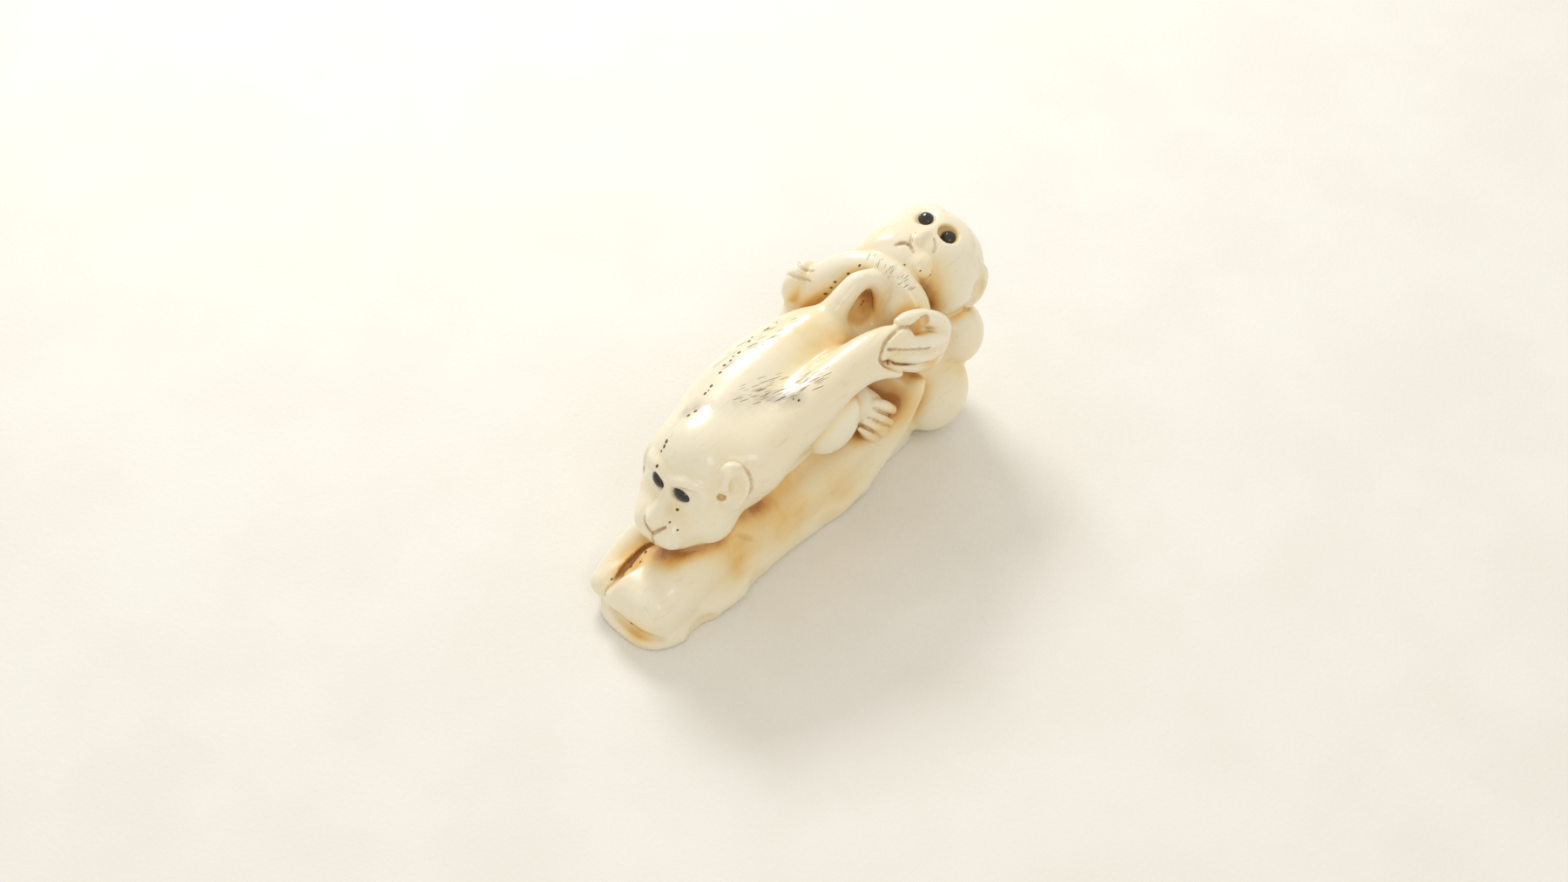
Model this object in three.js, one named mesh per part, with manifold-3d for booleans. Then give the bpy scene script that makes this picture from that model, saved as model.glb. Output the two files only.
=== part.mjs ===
// A netsuke carved from one piece of bone: a monkey lying on a curled leaf, its tail held by a second
// monkey that sits behind it and looks up. Four small black beads are let into the heads as eyes.
//
// Frame: +Z up, origin under the middle of the carving, the front monkey's head towards -Y.
// All sizes are millimetres.

import * as THREE from "three";
import Module from "manifold-3d";

const wasm = await Module();
wasm.setup();

// ---------------------------------------------------------------- driving dimensions
const EYE_RADIUS = 0.8; // beads of 1.6 mm
const EYE_CLEARANCE = 0.3; // gap between a bead and its drilled seat
const FINE_CELL = 1.15; // facet size on the heads, hands and feet
const LONG_CELL = 1.6; // facet size along the plain back
const BLEND = 0.8; // usual width of the soft fillet between two forms

const CORD_TUNNEL = { front: -7, rear: 1, wide: 1.6, narrow: 1.25, depth: 4.4 };

// from the middle of a bead to the middle of the hollow in front of it
const FRONT_SOCKET = [0, -0.8, 0.1];
const REAR_SOCKET = [0.1, -0.3, 1.1];

// The beads: middle of each eye, on its head
const EYES = {
  front_monkey_left_eye: [1.6, -17.05, 15.4],
  front_monkey_right_eye: [-1.5, -17.05, 15.4],
  rear_monkey_left_eye: [1.7, 22.75, 21.8],
  rear_monkey_right_eye: [-1.25, 22.6, 22.8],
};

// ---------------------------------------------------------------- clay
// Soft shapes are joined as distance fields: each form gives the distance to its own surface,
// negative inside, and neighbouring forms run into each other over a fillet of a given width.

// an egg: middle, half sizes, and its own axes where it is turned
function egg(middle, half, axes = new THREE.Matrix3()) {
  const centre = new THREE.Vector3(...middle);
  const size = new THREE.Vector3(...half);
  const local = new THREE.Vector3();
  const scaled = new THREE.Vector3();
  return (point) => {
    local.copy(point).sub(centre).applyMatrix3(axes);
    const k0 = scaled.copy(local).divide(size).length();
    const k1 = scaled.divide(size).length();
    return k1 < 1e-6 ? -Math.min(...half) : (k0 * (k0 - 1)) / k1;
  };
}

// a round limb that tapers along a smooth path; each row is x, y, z, radius
function limb(rows, steps = 4) {
  const places = rows.map(([x, y, z]) => new THREE.Vector3(x, y, z));
  const path = new THREE.CatmullRomCurve3(places, false, "catmullrom");
  const spans = (rows.length - 1) * steps;
  const knots = [];
  for (let i = 0; i <= spans; i++) {
    const at = (i / spans) * (rows.length - 1);
    const row = Math.min(Math.floor(at), rows.length - 2);
    const radius = THREE.MathUtils.lerp(rows[row][3], rows[row + 1][3], at - row);
    knots.push({ at: path.getPoint(i / spans), radius });
  }
  const along = new THREE.Vector3();
  const offset = new THREE.Vector3();
  return (point) => {
    let best = Infinity;
    for (let i = 0; i < spans; i++) {
      const [a, b] = [knots[i], knots[i + 1]];
      along.subVectors(b.at, a.at);
      offset.subVectors(point, a.at);
      const t = THREE.MathUtils.clamp(offset.dot(along) / along.lengthSq(), 0, 1);
      const gap = offset.addScaledVector(along, -t).length();
      best = Math.min(best, gap - THREE.MathUtils.lerp(a.radius, b.radius, t));
    }
    return best;
  };
}

// a block with rounded edges
function block(middle, half, round, axes = new THREE.Matrix3()) {
  const centre = new THREE.Vector3(...middle);
  const core = new THREE.Vector3(...half).subScalar(round);
  const local = new THREE.Vector3();
  return (point) => {
    local.copy(point).sub(centre).applyMatrix3(axes);
    const [x, y, z] = local.toArray().map((value, i) => Math.abs(value) - core.getComponent(i));
    const outside = Math.hypot(Math.max(x, 0), Math.max(y, 0), Math.max(z, 0));
    return outside + Math.min(Math.max(x, y, z), 0) - round;
  };
}

class Clay {
  constructor() {
    this.strokes = [];
  }

  add(form, blend = BLEND) {
    this.strokes.push({ form, blend, sign: 1 });
  }

  cut(form, blend = BLEND / 2) {
    this.strokes.push({ form, blend, sign: -1 });
  }

  distance(point) {
    let result = 50;
    for (const { form, blend, sign } of this.strokes) {
      const was = sign * result;
      const now = form(point);
      const near = Math.max(blend - Math.abs(was - now), 0) / blend;
      result = sign * (Math.min(was, now) - (near * near * blend) / 4);
    }
    return result;
  }
}

// the same rows on the far side, where the carver may have kept them lower or further in
const farSide = (rows, [dx, dy, dz] = [0, 0, 0]) =>
  rows.map(([x, y, z, ...rest]) => [-x + dx, y + dy, z + dz, ...rest]);

// ---------------------------------------------------------------- the forms of the carving

function carveLeaf(clay) {
  clay.add(block([0, -4, 1.5], [4.6, 19.5, 2.6], 1.6));
  // blunt front lobe and its low rim
  clay.add(block([0.5, -19, 2.2], [4.3, 5.8, 3.7], 2.6), 1.2);
  clay.add(limb([[-3.3, -22, 0.8, 1.2], [-2.6, -23.7, 0.6, 1.1], [0, -24.3, 0.6, 1.1],
    [3, -24, 0.6, 1.1], [4.6, -21.6, 0.8, 1.1], [4.8, -18, 0.8, 1.1]]), 0.6);
  clay.add(limb([[1.2, -12, 6.2, 3], [1.9, -16.5, 5, 2.8], [1.9, -19.5, 4, 2.8]]), 1.2);
  // narrow flap beside it
  clay.add(limb([[-3.4, -12, 5.6, 2.6], [-4.2, -16.5, 4.6, 2], [-4.7, -20, 3.3, 1.6],
    [-4.3, -23, 2.7, 1.35]]), 1);
  // wavy rims on both sides and the mound under the body
  clay.add(limb([[4.4, -18, 1.4, 1.6], [4.9, -14, 1.4, 1.6], [4.3, -9, 1.7, 1.7],
    [4.4, -4, 1.4, 1.6], [5, 1, 1.3, 1.5], [5.1, 5, 1.6, 1.3]]), 1);
  clay.add(limb([[-4.6, -15, 1.8, 1.8], [-5, -8, 2, 1.8], [-4.6, 0, 1.8, 1.6], [-5, 7, 2, 1.6]]), 1.2);
  clay.add(egg([-0.5, -2, 7], [3, 13, 5.5]), 1.5);
  // the near flank swells under the knee
  clay.add(limb([[1.8, -14, 4.6, 2.4], [2.6, -9, 4.4, 2.3], [2.7, -3, 4.2, 2.2],
    [2.9, 3, 4.4, 2.2], [3, 7, 5.4, 2.2]]), 2);
  clay.add(egg([1, 11, 5], [4, 5, 7.5]), 1.5);
  // the leaf's rear edge stands up as a wall
  const up = new THREE.Vector3(1.3, 7.8, 9.8).normalize();
  const out = new THREE.Vector3(0.445, -0.727, 0.52).normalize();
  const across = new THREE.Vector3().crossVectors(out, up);
  const axes = new THREE.Matrix3().set(...up.toArray(), ...across.toArray(), ...out.toArray());
  clay.add(block([2.7, 9.4, 6], [6.6, 3.2, 1.1], 1, axes), 1.2);
  clay.add(block([3.3, 9.2, 6.6], [6.2, 2.6, 1.3], 1.2, axes), 1.4);
  clay.add(limb([[4.9, 5.2, 1, 1], [5.4, 8.8, 3.8, 1], [5.9, 11.6, 7.5, 0.9], [6.1, 13.3, 11, 0.7]]), 1);
}

function carveFrontMonkey(clay) {
  // back and shoulders
  clay.add(limb([[-0.2, -10, 15, 5.3], [-1, -5, 15.7, 5.5], [-1.3, 0, 16.5, 5.3],
    [-1.1, 4, 17.2, 4.3], [-0.8, 6, 18.2, 3]]), 1.5);
  clay.add(egg([-1.8, -3.5, 15.5], [5.3, 10, 5.3]), 1.5);
  clay.add(egg([-0.3, -3, 13.5], [6, 10, 5.2]), 1.5);
  clay.add(egg([0, -9, 14], [5.9, 6, 5.9]), 1.5);
  clay.add(egg([-0.8, 4, 16.4], [4.6, 4.8, 5.4]), 1.2);
  // head, muzzle and cheeks
  clay.add(egg([0, -12.9, 14.4], [5.5, 4.9, 6]), 1.2);
  clay.add(egg([-0.5, -17.2, 10.5], [3.7, 2.9, 3]), 1);
  clay.add(egg([2.7, -14.8, 11.6], [2.8, 2.9, 3.2]), 1);
  clay.add(egg([-2.7, -14.8, 11.4], [2.8, 2.9, 3.4]), 1);
  clay.add(egg([-0.3, -15.8, 9.6], [3.4, 2.9, 2]), 1);
  // near arm: a long ridge to the grasped wrist, and a lower branch that ends in a point
  clay.add(limb([[4.2, -9.5, 16.3, 3], [4.6, -4.5, 18.1, 2.7], [5.1, 0.5, 19.7, 2.3],
    [5.6, 4.6, 20.8, 1.95], [6, 7.4, 21, 1.55], [6.4, 9, 20.8, 1.2], [6.7, 10.2, 20.5, 0.75],
    [6.6, 11, 20.8, 0.35]]), 2.4);
  clay.add(limb([[5.2, -4, 17.4, 1.8], [5.8, 1, 19.6, 1.5], [6.6, 5, 19.1, 1.1], [7.5, 8.4, 16.8, 0.35]]), 1);
  // far arm, lower on the flank
  clay.add(limb([[-4.6, -9, 12, 2.6], [-4.8, -3.5, 12.2, 2.2], [-5, 1.5, 12.6, 1.9],
    [-5.8, 5.3, 13.8, 1.7], [-6.8, 8.5, 16, 1.5]]), 1.2);
  // hollows under both flanks, between the body and the leaf
  clay.cut(limb([[6.8, -16, 6.8, 1.2], [6.7, -11.5, 9.3, 1.7], [6.5, -6, 11.6, 2.3],
    [6.4, -1, 10.9, 2.4], [6.6, 4, 10.8, 2.2]]), 0.3);
  clay.cut(limb([[-6.8, -14, 7.2, 1], [-6.9, -9, 8, 1.6], [-6.8, -2, 8.6, 2], [-6.8, 4, 9.6, 2]]), 0.3);
  // root of the tail
  clay.add(limb([[-0.9, 4, 19, 3], [-0.7, 6.6, 20.3, 1.8], [-0.45, 8.6, 21.95, 1.2],
    [-0.2, 10.4, 23, 1.05]]), 0.7);
}

function carveRearMonkey(clay) {
  clay.add(egg([0, 18.5, 9], [5.6, 7.5, 8.6]), 1.2);
  for (const side of [-1, 1]) {
    clay.add(egg([side * 3.6, 21.3, 11], [3.8, 3.6, 3.8]), 1);
    clay.add(egg([side * 4, 18.2, 4.8], [3.9, 4.3, 4.9]), 1);
  }
  clay.add(egg([0.2, 13.5, 16], [3.6, 3.2, 4]), 1);
  clay.add(egg([0, 9.5, 14], [3.4, 4.5, 4.5]), 1);
  clay.add(egg([0, 18, 2.4], [4.6, 6, 3.2]), 1);
  // head thrown back
  clay.add(egg([-0.4, 21.8, 17.8], [6.2, 6, 5.7]), 0.4);
  clay.add(egg([-1, 17.8, 20.3], [4.4, 4.6, 3.8]), 1);
}

// both forearms meet in a band, and the tail curls down behind it
function carveArmsAndTail(clay) {
  clay.add(limb([[-6.6, 10.2, 16.6, 1.9], [-5.2, 11.4, 19.6, 1.9], [-2.6, 13.2, 21.8, 1.7],
    [0.8, 14.4, 21.9, 1.6], [3.6, 14.7, 20.1, 1.6], [5.4, 13.7, 18, 1.5]]), 0.25);
  clay.add(egg([-7.6, 10.3, 18.5], [1.4, 2.5, 2.6]), 0.5);
  clay.add(egg([2.7, 13.2, 19], [1.6, 1.4, 2.2]), 0.8);
  clay.add(limb([[-0.45, 8.6, 21.95, 1.2], [-0.2, 10.4, 23, 1.05], [0.35, 12.1, 22.75, 1],
    [1, 12.9, 21.2, 1], [1.35, 12.6, 19.4, 0.95], [1.5, 12, 17.6, 0.8]]), 0.2);
  clay.cut(egg([0.2, 10.4, 20.1], [0.8, 1.5, 1.9]), 0.7);
}

// knees pressed against the flanks, and a foot with four toes behind each
function carveLegs(clay) {
  clay.add(egg([5.6, 0.2, 14.8], [2.2, 3.6, 3.4]), 0.25);
  clay.add(egg([-5.6, 0.2, 11.5], [2.2, 3.6, 3.4]), 0.25);
  const foot = [[4, 5.2, 13, 2], [4.9, 6.8, 10.8, 1.9], [5.3, 7.2, 8.6, 1.6]];
  const toes = [
    [[5.9, 6.3, 13.2, 0.4], [6.2, 7.6, 11.9, 0.62], [6.1, 9.1, 10.1, 0.55]],
    [[6, 5.5, 12.4, 0.3], [6.35, 6.8, 11, 0.6], [6.3, 8.5, 8.9, 0.5]],
    [[5.9, 4.8, 11.6, 0.3], [6.3, 6.1, 10.2, 0.55], [6.2, 7.8, 7.9, 0.48]],
    [[5.7, 4.5, 10.6, 0.3], [6, 5.6, 9.2, 0.5], [5.9, 7, 7.2, 0.42]],
  ];
  clay.add(limb(foot), 0.5);
  clay.add(limb(farSide(foot)), 0.5);
  for (const toe of toes) {
    clay.add(limb(toe), 0.12);
    clay.add(limb(farSide(toe)), 0.12);
  }
}

// the near hand: three fingers and a thumb closed around the lying monkey's wrist
function carveHand(clay) {
  clay.add(egg([6, 13.4, 16.6], [1.6, 3.2, 2.8]), 0.5);
  clay.add(limb([[6.7, 15.2, 16.4, 1], [7.2, 13.4, 17.7, 1], [7.5, 11.4, 19, 0.95],
    [7.4, 9.6, 20.1, 0.85], [7.1, 7.8, 21.1, 0.7], [6.9, 6.9, 21.7, 0.4]]), 0.15);
  clay.add(limb([[6.6, 15.4, 15, 1.05], [7.2, 13.4, 16.1, 1], [7.5, 11.2, 17.4, 0.95],
    [7.35, 9.4, 18.7, 0.88], [7.1, 7.7, 19.8, 0.75], [6.9, 6.9, 20.4, 0.5]]), 0.1);
  clay.add(limb([[6.3, 15.4, 13.8, 1.05], [6.9, 13.6, 14.5, 1], [7.1, 11.6, 15.6, 0.9],
    [7.05, 9.8, 16.9, 0.82], [6.9, 8.4, 18, 0.72], [6.8, 7.4, 18.7, 0.5]]), 0.1);
  clay.add(limb([[6.3, 16, 15.4, 1.2], [6.4, 16.1, 17.2, 1.1], [6.4, 14.8, 19, 1],
    [6.2, 12.9, 20.6, 0.9], [6, 11.1, 21.5, 0.8], [5.9, 9.8, 22, 0.5]]), 0.3);
  clay.add(egg([5.9, 12, 19.2], [1, 2.4, 1.1]), 0.5);
}

// brow, nose and lip of the lying monkey
function carveFrontFace(clay) {
  clay.add(limb([[-3.6, -16, 15.6, 0.45], [-3.1, -16.3, 16.8, 0.5], [-1.8, -17.05, 17.2, 0.5],
    [0, -17.3, 16.6, 0.4], [1.8, -17.05, 17.2, 0.5], [3.1, -16.3, 16.8, 0.5],
    [3.7, -16, 15.7, 0.45], [3.6, -16.3, 14.6, 0.4]]), 0.6);
  clay.add(limb([[0, -16.8, 15.4, 0.3], [-0.05, -18.1, 14, 0.65], [-0.15, -19.3, 12.5, 0.95]]), 0.8);
  clay.add(egg([1.2, -18.9, 10.6], [1.6, 1.2, 1.5]), 0.5);
  clay.add(egg([-1.4, -18.9, 10.6], [1.6, 1.2, 1.5]), 0.5);
}

// brow, muzzle and nose of the sitting monkey, which face upwards
function carveRearFace(clay) {
  clay.add(egg([-1.2, 17.2, 22.75], [2.3, 1.3, 1.35]), 0.35);
  clay.add(egg([2, 17.4, 21.9], [1.6, 1.7, 1.4]), 0.35);
  clay.add(limb([[0.4, 21.4, 23, 0.4], [0.4, 20.2, 23.4, 0.5], [0.4, 19.2, 23.5, 0.55]]), 0.5);
  clay.add(egg([0.5, 18.9, 23.55], [0.6, 0.75, 0.55]), 0.3);
  clay.add(limb([[-3.9, 23.4, 21.6, 0.5], [-2.9, 24.4, 22, 0.6], [-1.4, 24.6, 22.5, 0.6],
    [0, 24.2, 22.6, 0.55], [1.4, 24.6, 22.2, 0.6], [2.9, 24.4, 21.6, 0.6], [3.9, 23.4, 20.8, 0.5]]), 0.8);
}

function carveEars(clay) {
  const base = [[4.8, -13.7, 16.2]];
  const rim = [[4.1, -14.6, 17.7, 0.3], [4.7, -13.2, 18.4, 0.45], [5.6, -12.5, 17, 0.48],
    [5.75, -13, 14.9, 0.45], [4.9, -14.4, 13.4, 0.3]];
  const lower = [0, -0.8, -2.4];
  clay.add(egg(base[0], [0.9, 1.4, 2.4]), 0.6);
  clay.add(limb(rim), 0.2);
  clay.add(egg(farSide(base, lower)[0], [0.9, 1.4, 2.4]), 0.6);
  clay.add(limb(farSide(rim, lower)), 0.2);
  const rear = [[4.9, 24, 19.5, 0.35], [5.3, 24.3, 18.5, 0.5], [5.5, 24, 17, 0.55],
    [5.4, 23.2, 15.6, 0.5], [5, 22.3, 14.9, 0.4]];
  clay.add(limb(rear), 0.3);
  clay.add(limb(farSide(rear, [-0.5, 0, 0])), 0.3);
}

// the groove down the lobe, and bites out of the leaf's wavy lower edge
function splitLeaf(clay) {
  clay.cut(egg([6.2, -19.6, 0.6], [1, 2, 1.5]), 0.6);
  clay.cut(egg([6.7, -11.4, 1.2], [0.9, 1.6, 2]), 0.6);
  clay.cut(egg([6.9, -1, 1.2], [0.9, 1.8, 2]), 0.6);
  clay.cut(limb([[-1.8, -18, 7.8, 0.6], [-2.3, -20.2, 6.2, 1], [-2.6, -22.5, 5.4, 1.1],
    [-3, -24.8, 4.4, 0.8]]), 0.6);
}

// two holes in the underside, joined inside, for the cord
function boreCordTunnel(clay) {
  const { front, rear, wide, narrow, depth } = CORD_TUNNEL;
  const middle = (front + rear) / 2;
  clay.cut(limb([[0, front, -1, wide], [0, front + 0.8, depth * 0.6, wide], [0, middle, depth, narrow],
    [0, rear - 0.8, depth * 0.6, narrow], [0, rear, -1, narrow]]), 0.2);
}

// ---------------------------------------------------------------- clay to facets

// sample planes along one axis: cells of the given sizes between the given places
function planes(from, ...stretches) {
  const result = [from];
  for (const [to, cell] of stretches) {
    const start = result.at(-1);
    const count = Math.ceil((to - start) / cell);
    for (let i = 1; i <= count; i++) result.push(start + ((to - start) * i) / count);
  }
  return result;
}

const CORNERS = [0, 1, 2, 3, 4, 5, 6, 7].map((i) => [i & 1, (i >> 1) & 1, i >> 2]);
const CELL_EDGES = [];
for (let a = 0; a < 8; a++) for (const bit of [1, 2, 4]) if (!(a & bit)) CELL_EDGES.push([a, a | bit]);

// true when the corners on one side of the surface hang together along the cell's edges
function connected(inside, want) {
  const members = CORNERS.map((_, i) => i).filter((i) => inside[i] === want);
  if (members.length < 2) return true;
  const reached = new Set([members[0]]);
  for (let pass = 0; pass < 4; pass++) {
    for (const [a, b] of CELL_EDGES) {
      if (inside[a] !== want || inside[b] !== want) continue;
      if (reached.has(a) || reached.has(b)) reached.add(a).add(b);
    }
  }
  return reached.size === members.length;
}

function meshOf(positions, triangles) {
  return new wasm.Mesh({
    numProp: 3,
    vertProperties: new Float32Array(positions),
    triVerts: new Uint32Array(triangles),
  });
}

// one closed surface through the zero of the clay's distance, flat where it is cut by the ground
function facet(clay, xs, ys, zs) {
  const [nx, ny, nz] = [xs.length, ys.length, zs.length];
  const index = (i, j, k) => i + nx * (j + ny * k);
  const value = new Float64Array(nx * ny * nz);
  const point = new THREE.Vector3();
  for (let k = 0; k < nz; k++) {
    for (let j = 0; j < ny; j++) {
      for (let i = 0; i < nx; i++) {
        value[index(i, j, k)] = Math.max(clay.distance(point.set(xs[i], ys[j], zs[k])), -zs[k]);
      }
    }
  }
  // a cell may hold only one sheet of the surface, so corners that touch at a point are filled in
  for (let changed = true; changed; ) {
    changed = false;
    for (let k = 0; k < nz - 1; k++) {
      for (let j = 0; j < ny - 1; j++) {
        for (let i = 0; i < nx - 1; i++) {
          const ids = CORNERS.map(([a, b, c]) => index(i + a, j + b, k + c));
          const inside = ids.map((id) => value[id] < 0);
          if (connected(inside, true) && connected(inside, false)) continue;
          const fillable = ids.filter((id, n) => !inside[n] && k + CORNERS[n][2] > 0);
          const target = fillable.reduce((best, id) => (value[id] < value[best] ? id : best), fillable[0]);
          value[target] = -0.1;
          changed = true;
        }
      }
    }
  }
  // one vertex in each cell that the surface crosses, at the mean of its crossings
  const vertexOf = new Map();
  const positions = [];
  for (let k = 0; k < nz - 1; k++) {
    for (let j = 0; j < ny - 1; j++) {
      for (let i = 0; i < nx - 1; i++) {
        const at = CORNERS.map(([a, b, c]) => [xs[i + a], ys[j + b], zs[k + c]]);
        const d = CORNERS.map(([a, b, c]) => value[index(i + a, j + b, k + c)]);
        const mean = [0, 0, 0];
        let crossings = 0;
        for (const [a, b] of CELL_EDGES) {
          if (d[a] < 0 === d[b] < 0) continue;
          const t = d[a] / (d[a] - d[b]);
          mean.forEach((_, axis) => (mean[axis] += THREE.MathUtils.lerp(at[a][axis], at[b][axis], t)));
          crossings++;
        }
        if (!crossings) continue;
        vertexOf.set(index(i, j, k), positions.length / 3);
        const z = k === 0 ? 0 : mean[2] / crossings;
        positions.push(mean[0] / crossings, mean[1] / crossings, z);
      }
    }
  }
  // two triangles across each grid edge that the surface crosses
  const triangles = [];
  const corner = (id) => new THREE.Vector3().fromArray(positions, id * 3);
  const steps = [[1, 0, 0], [0, 1, 0], [0, 0, 1]];
  for (let k = 0; k < nz - 1; k++) {
    for (let j = 0; j < ny - 1; j++) {
      for (let i = 0; i < nx - 1; i++) {
        steps.forEach((step, axis) => {
          const a = value[index(i, j, k)];
          const b = value[index(i + step[0], j + step[1], k + step[2])];
          if (a < 0 === b < 0) return;
          const [u, v] = [steps[(axis + 1) % 3], steps[(axis + 2) % 3]];
          const loop = [[1, 1], [0, 1], [0, 0], [1, 0]].map(([m, n]) =>
            vertexOf.get(
              index(i - m * u[0] - n * v[0], j - m * u[1] - n * v[1], k - m * u[2] - n * v[2]),
            ),
          );
          if (a >= 0) loop.reverse();
          const [p, q, r, s] = loop;
          const short = corner(p).distanceTo(corner(r)) < corner(q).distanceTo(corner(s));
          triangles.push(...(short ? [p, q, r, p, r, s] : [q, r, s, q, s, p]));
        });
      }
    }
  }
  return meshOf(positions, triangles);
}

// ---------------------------------------------------------------- closed spheres for beads and seats

function ball(radius, [x, y, z], detail) {
  const sphere = new THREE.IcosahedronGeometry(radius, detail).translate(x, y, z);
  const source = sphere.getAttribute("position");
  const merged = new Map();
  const positions = [];
  const triangles = [];
  for (let i = 0; i < source.count; i++) {
    const place = [source.getX(i), source.getY(i), source.getZ(i)];
    const key = place.map((n) => n.toFixed(4)).join();
    if (!merged.has(key)) {
      merged.set(key, positions.length / 3);
      positions.push(...place);
    }
    triangles.push(merged.get(key));
  }
  return meshOf(positions, triangles);
}

function asMesh(name, { vertProperties, triVerts }, material) {
  const geometry = new THREE.BufferGeometry();
  geometry.setAttribute("position", new THREE.BufferAttribute(new Float32Array(vertProperties), 3));
  geometry.setIndex(new THREE.BufferAttribute(new Uint32Array(triVerts), 1));
  geometry.computeVertexNormals();
  const mesh = new THREE.Mesh(geometry, material);
  mesh.name = name;
  return mesh;
}

// ---------------------------------------------------------------- the part

const bone = new THREE.MeshStandardMaterial({ color: 0xe9dfc4, roughness: 0.28, metalness: 0 });
const black = new THREE.MeshStandardMaterial({ color: 0x0b0908, roughness: 0.08, metalness: 0 });

const clay = new Clay();
carveLeaf(clay);
carveFrontMonkey(clay);
carveRearMonkey(clay);
carveArmsAndTail(clay);
carveLegs(clay);
carveHand(clay);
carveFrontFace(clay);
carveRearFace(clay);
carveEars(clay);
splitLeaf(clay);
boreCordTunnel(clay);

const xs = planes(-10, [10, FINE_CELL]);
const ys = planes(-27, [-11, FINE_CELL], [4, LONG_CELL], [30, FINE_CELL]);
const zs = planes(-FINE_CELL / 2, [26, FINE_CELL]);
let carving = new wasm.Manifold(facet(clay, xs, ys, zs));
for (const [name, eye] of Object.entries(EYES)) {
  // a drilled seat, and the socket that opens it to the face
  const opening = name.startsWith("front") ? FRONT_SOCKET : REAR_SOCKET;
  for (const place of [eye, eye.map((value, axis) => value + opening[axis])]) {
    carving = carving.subtract(new wasm.Manifold(ball(EYE_RADIUS + EYE_CLEARANCE, place, 2)));
  }
}
// only the outer skin of the lump is kept, so no pocket stays closed up inside it
carving = carving.decompose().sort((a, b) => b.volume() - a.volume())[0];

const netsuke = new THREE.Group();
netsuke.add(asMesh("carved_monkeys", carving.getMesh(), bone));
for (const [name, eye] of Object.entries(EYES)) {
  netsuke.add(asMesh(name, ball(EYE_RADIUS, eye, 2), black));
}

// the frame's origin is under the middle of the whole carving
const bounds = new THREE.Box3().setFromObject(netsuke);
const middle = bounds.getCenter(new THREE.Vector3());
netsuke.position.set(-middle.x, -middle.y, -bounds.min.z);

export default netsuke;
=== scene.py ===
# %% [markdown]
# # A carved bone netsuke: two monkeys on a curled leaf
#
# A netsuke is a thumb-sized toggle that hung a pouch from a sash. This one is a single piece of polished
# bone: a long monkey lies on a curled leaf, and a second one sits behind and holds its arm. Only the four
# eyes are other pieces, black beads set into the bone. One carved lump has no panels or edges to model one
# by one, so the script works as the carver did. It builds rough masses, blends them, and cuts into them.
#
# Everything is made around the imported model, which stays fixed.

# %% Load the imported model
import math

import bpy
import numpy as np
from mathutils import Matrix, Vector


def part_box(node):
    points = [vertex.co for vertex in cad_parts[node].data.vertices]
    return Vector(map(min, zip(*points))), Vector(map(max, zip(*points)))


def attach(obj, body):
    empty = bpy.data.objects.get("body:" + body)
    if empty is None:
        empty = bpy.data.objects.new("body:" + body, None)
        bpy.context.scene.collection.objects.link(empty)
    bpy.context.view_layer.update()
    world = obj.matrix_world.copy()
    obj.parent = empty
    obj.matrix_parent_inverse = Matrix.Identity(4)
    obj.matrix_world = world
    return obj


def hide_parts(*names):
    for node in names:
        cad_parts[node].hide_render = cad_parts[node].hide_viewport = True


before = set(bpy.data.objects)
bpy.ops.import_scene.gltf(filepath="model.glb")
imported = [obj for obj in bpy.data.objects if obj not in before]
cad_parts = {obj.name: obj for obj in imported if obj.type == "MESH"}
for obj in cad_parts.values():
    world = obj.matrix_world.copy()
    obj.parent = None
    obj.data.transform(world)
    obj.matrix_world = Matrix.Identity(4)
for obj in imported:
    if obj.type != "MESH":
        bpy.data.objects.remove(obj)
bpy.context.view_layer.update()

# %% [markdown]
# ## One workbench in millimetres
#
# The carving is about 53 mm long, so its places are easier to read in millimetres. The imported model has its
# origin under the middle of its box, while the carver's places are measured from the middle of the leaf.
# One eye bead is in both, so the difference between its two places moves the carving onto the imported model.

# %% Place the workbench
MM = 0.001
EYES = {
    "front_monkey_left_eye": (1.6, -17.05, 15.4),
    "front_monkey_right_eye": (-1.5, -17.05, 15.4),
    "rear_monkey_left_eye": (1.7, 22.75, 21.8),
    "rear_monkey_right_eye": (-1.25, 22.6, 22.8),
}


def bench_origin():
    low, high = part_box("front_monkey_left_eye")
    return (np.array(low) + np.array(high)) / 2 / MM - np.array(EYES["front_monkey_left_eye"])


ORIGIN = bench_origin()
ORIGIN[2] = 0.0
print("the bench's origin is moved by, in mm:", ORIGIN.round(3))

# %% [markdown]
# ## Clay: a field of distances
#
# The real piece was cut from one tooth or bone, with every form flowing into the next. A mesh of separate
# balls and tubes would show its joins, and metaballs give little control over how sharp a join is. Here the
# lump is a grid that holds, at each point, the distance to the surface: negative inside and positive
# outside. A form is added with a smooth minimum, which fills the corner like a thumb in clay, and cut away
# with a smooth maximum.

# %% The three shapes that the carver adds or cuts
def unit(v):
    v = np.asarray(v, float)
    return v / np.linalg.norm(v)


class Placed:
    """A shape with a middle, half sizes and, where it is turned, its own axes as rows."""

    def __init__(self, middle, half, axes=None):
        self.middle = np.asarray(middle, float)
        self.half = np.asarray(half, float)
        self.axes = np.eye(3) if axes is None else np.asarray(axes, float)

    def own(self, at):
        return [sum((at[j] - self.middle[j]) * self.axes[i, j] for j in range(3)) for i in range(3)]


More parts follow.
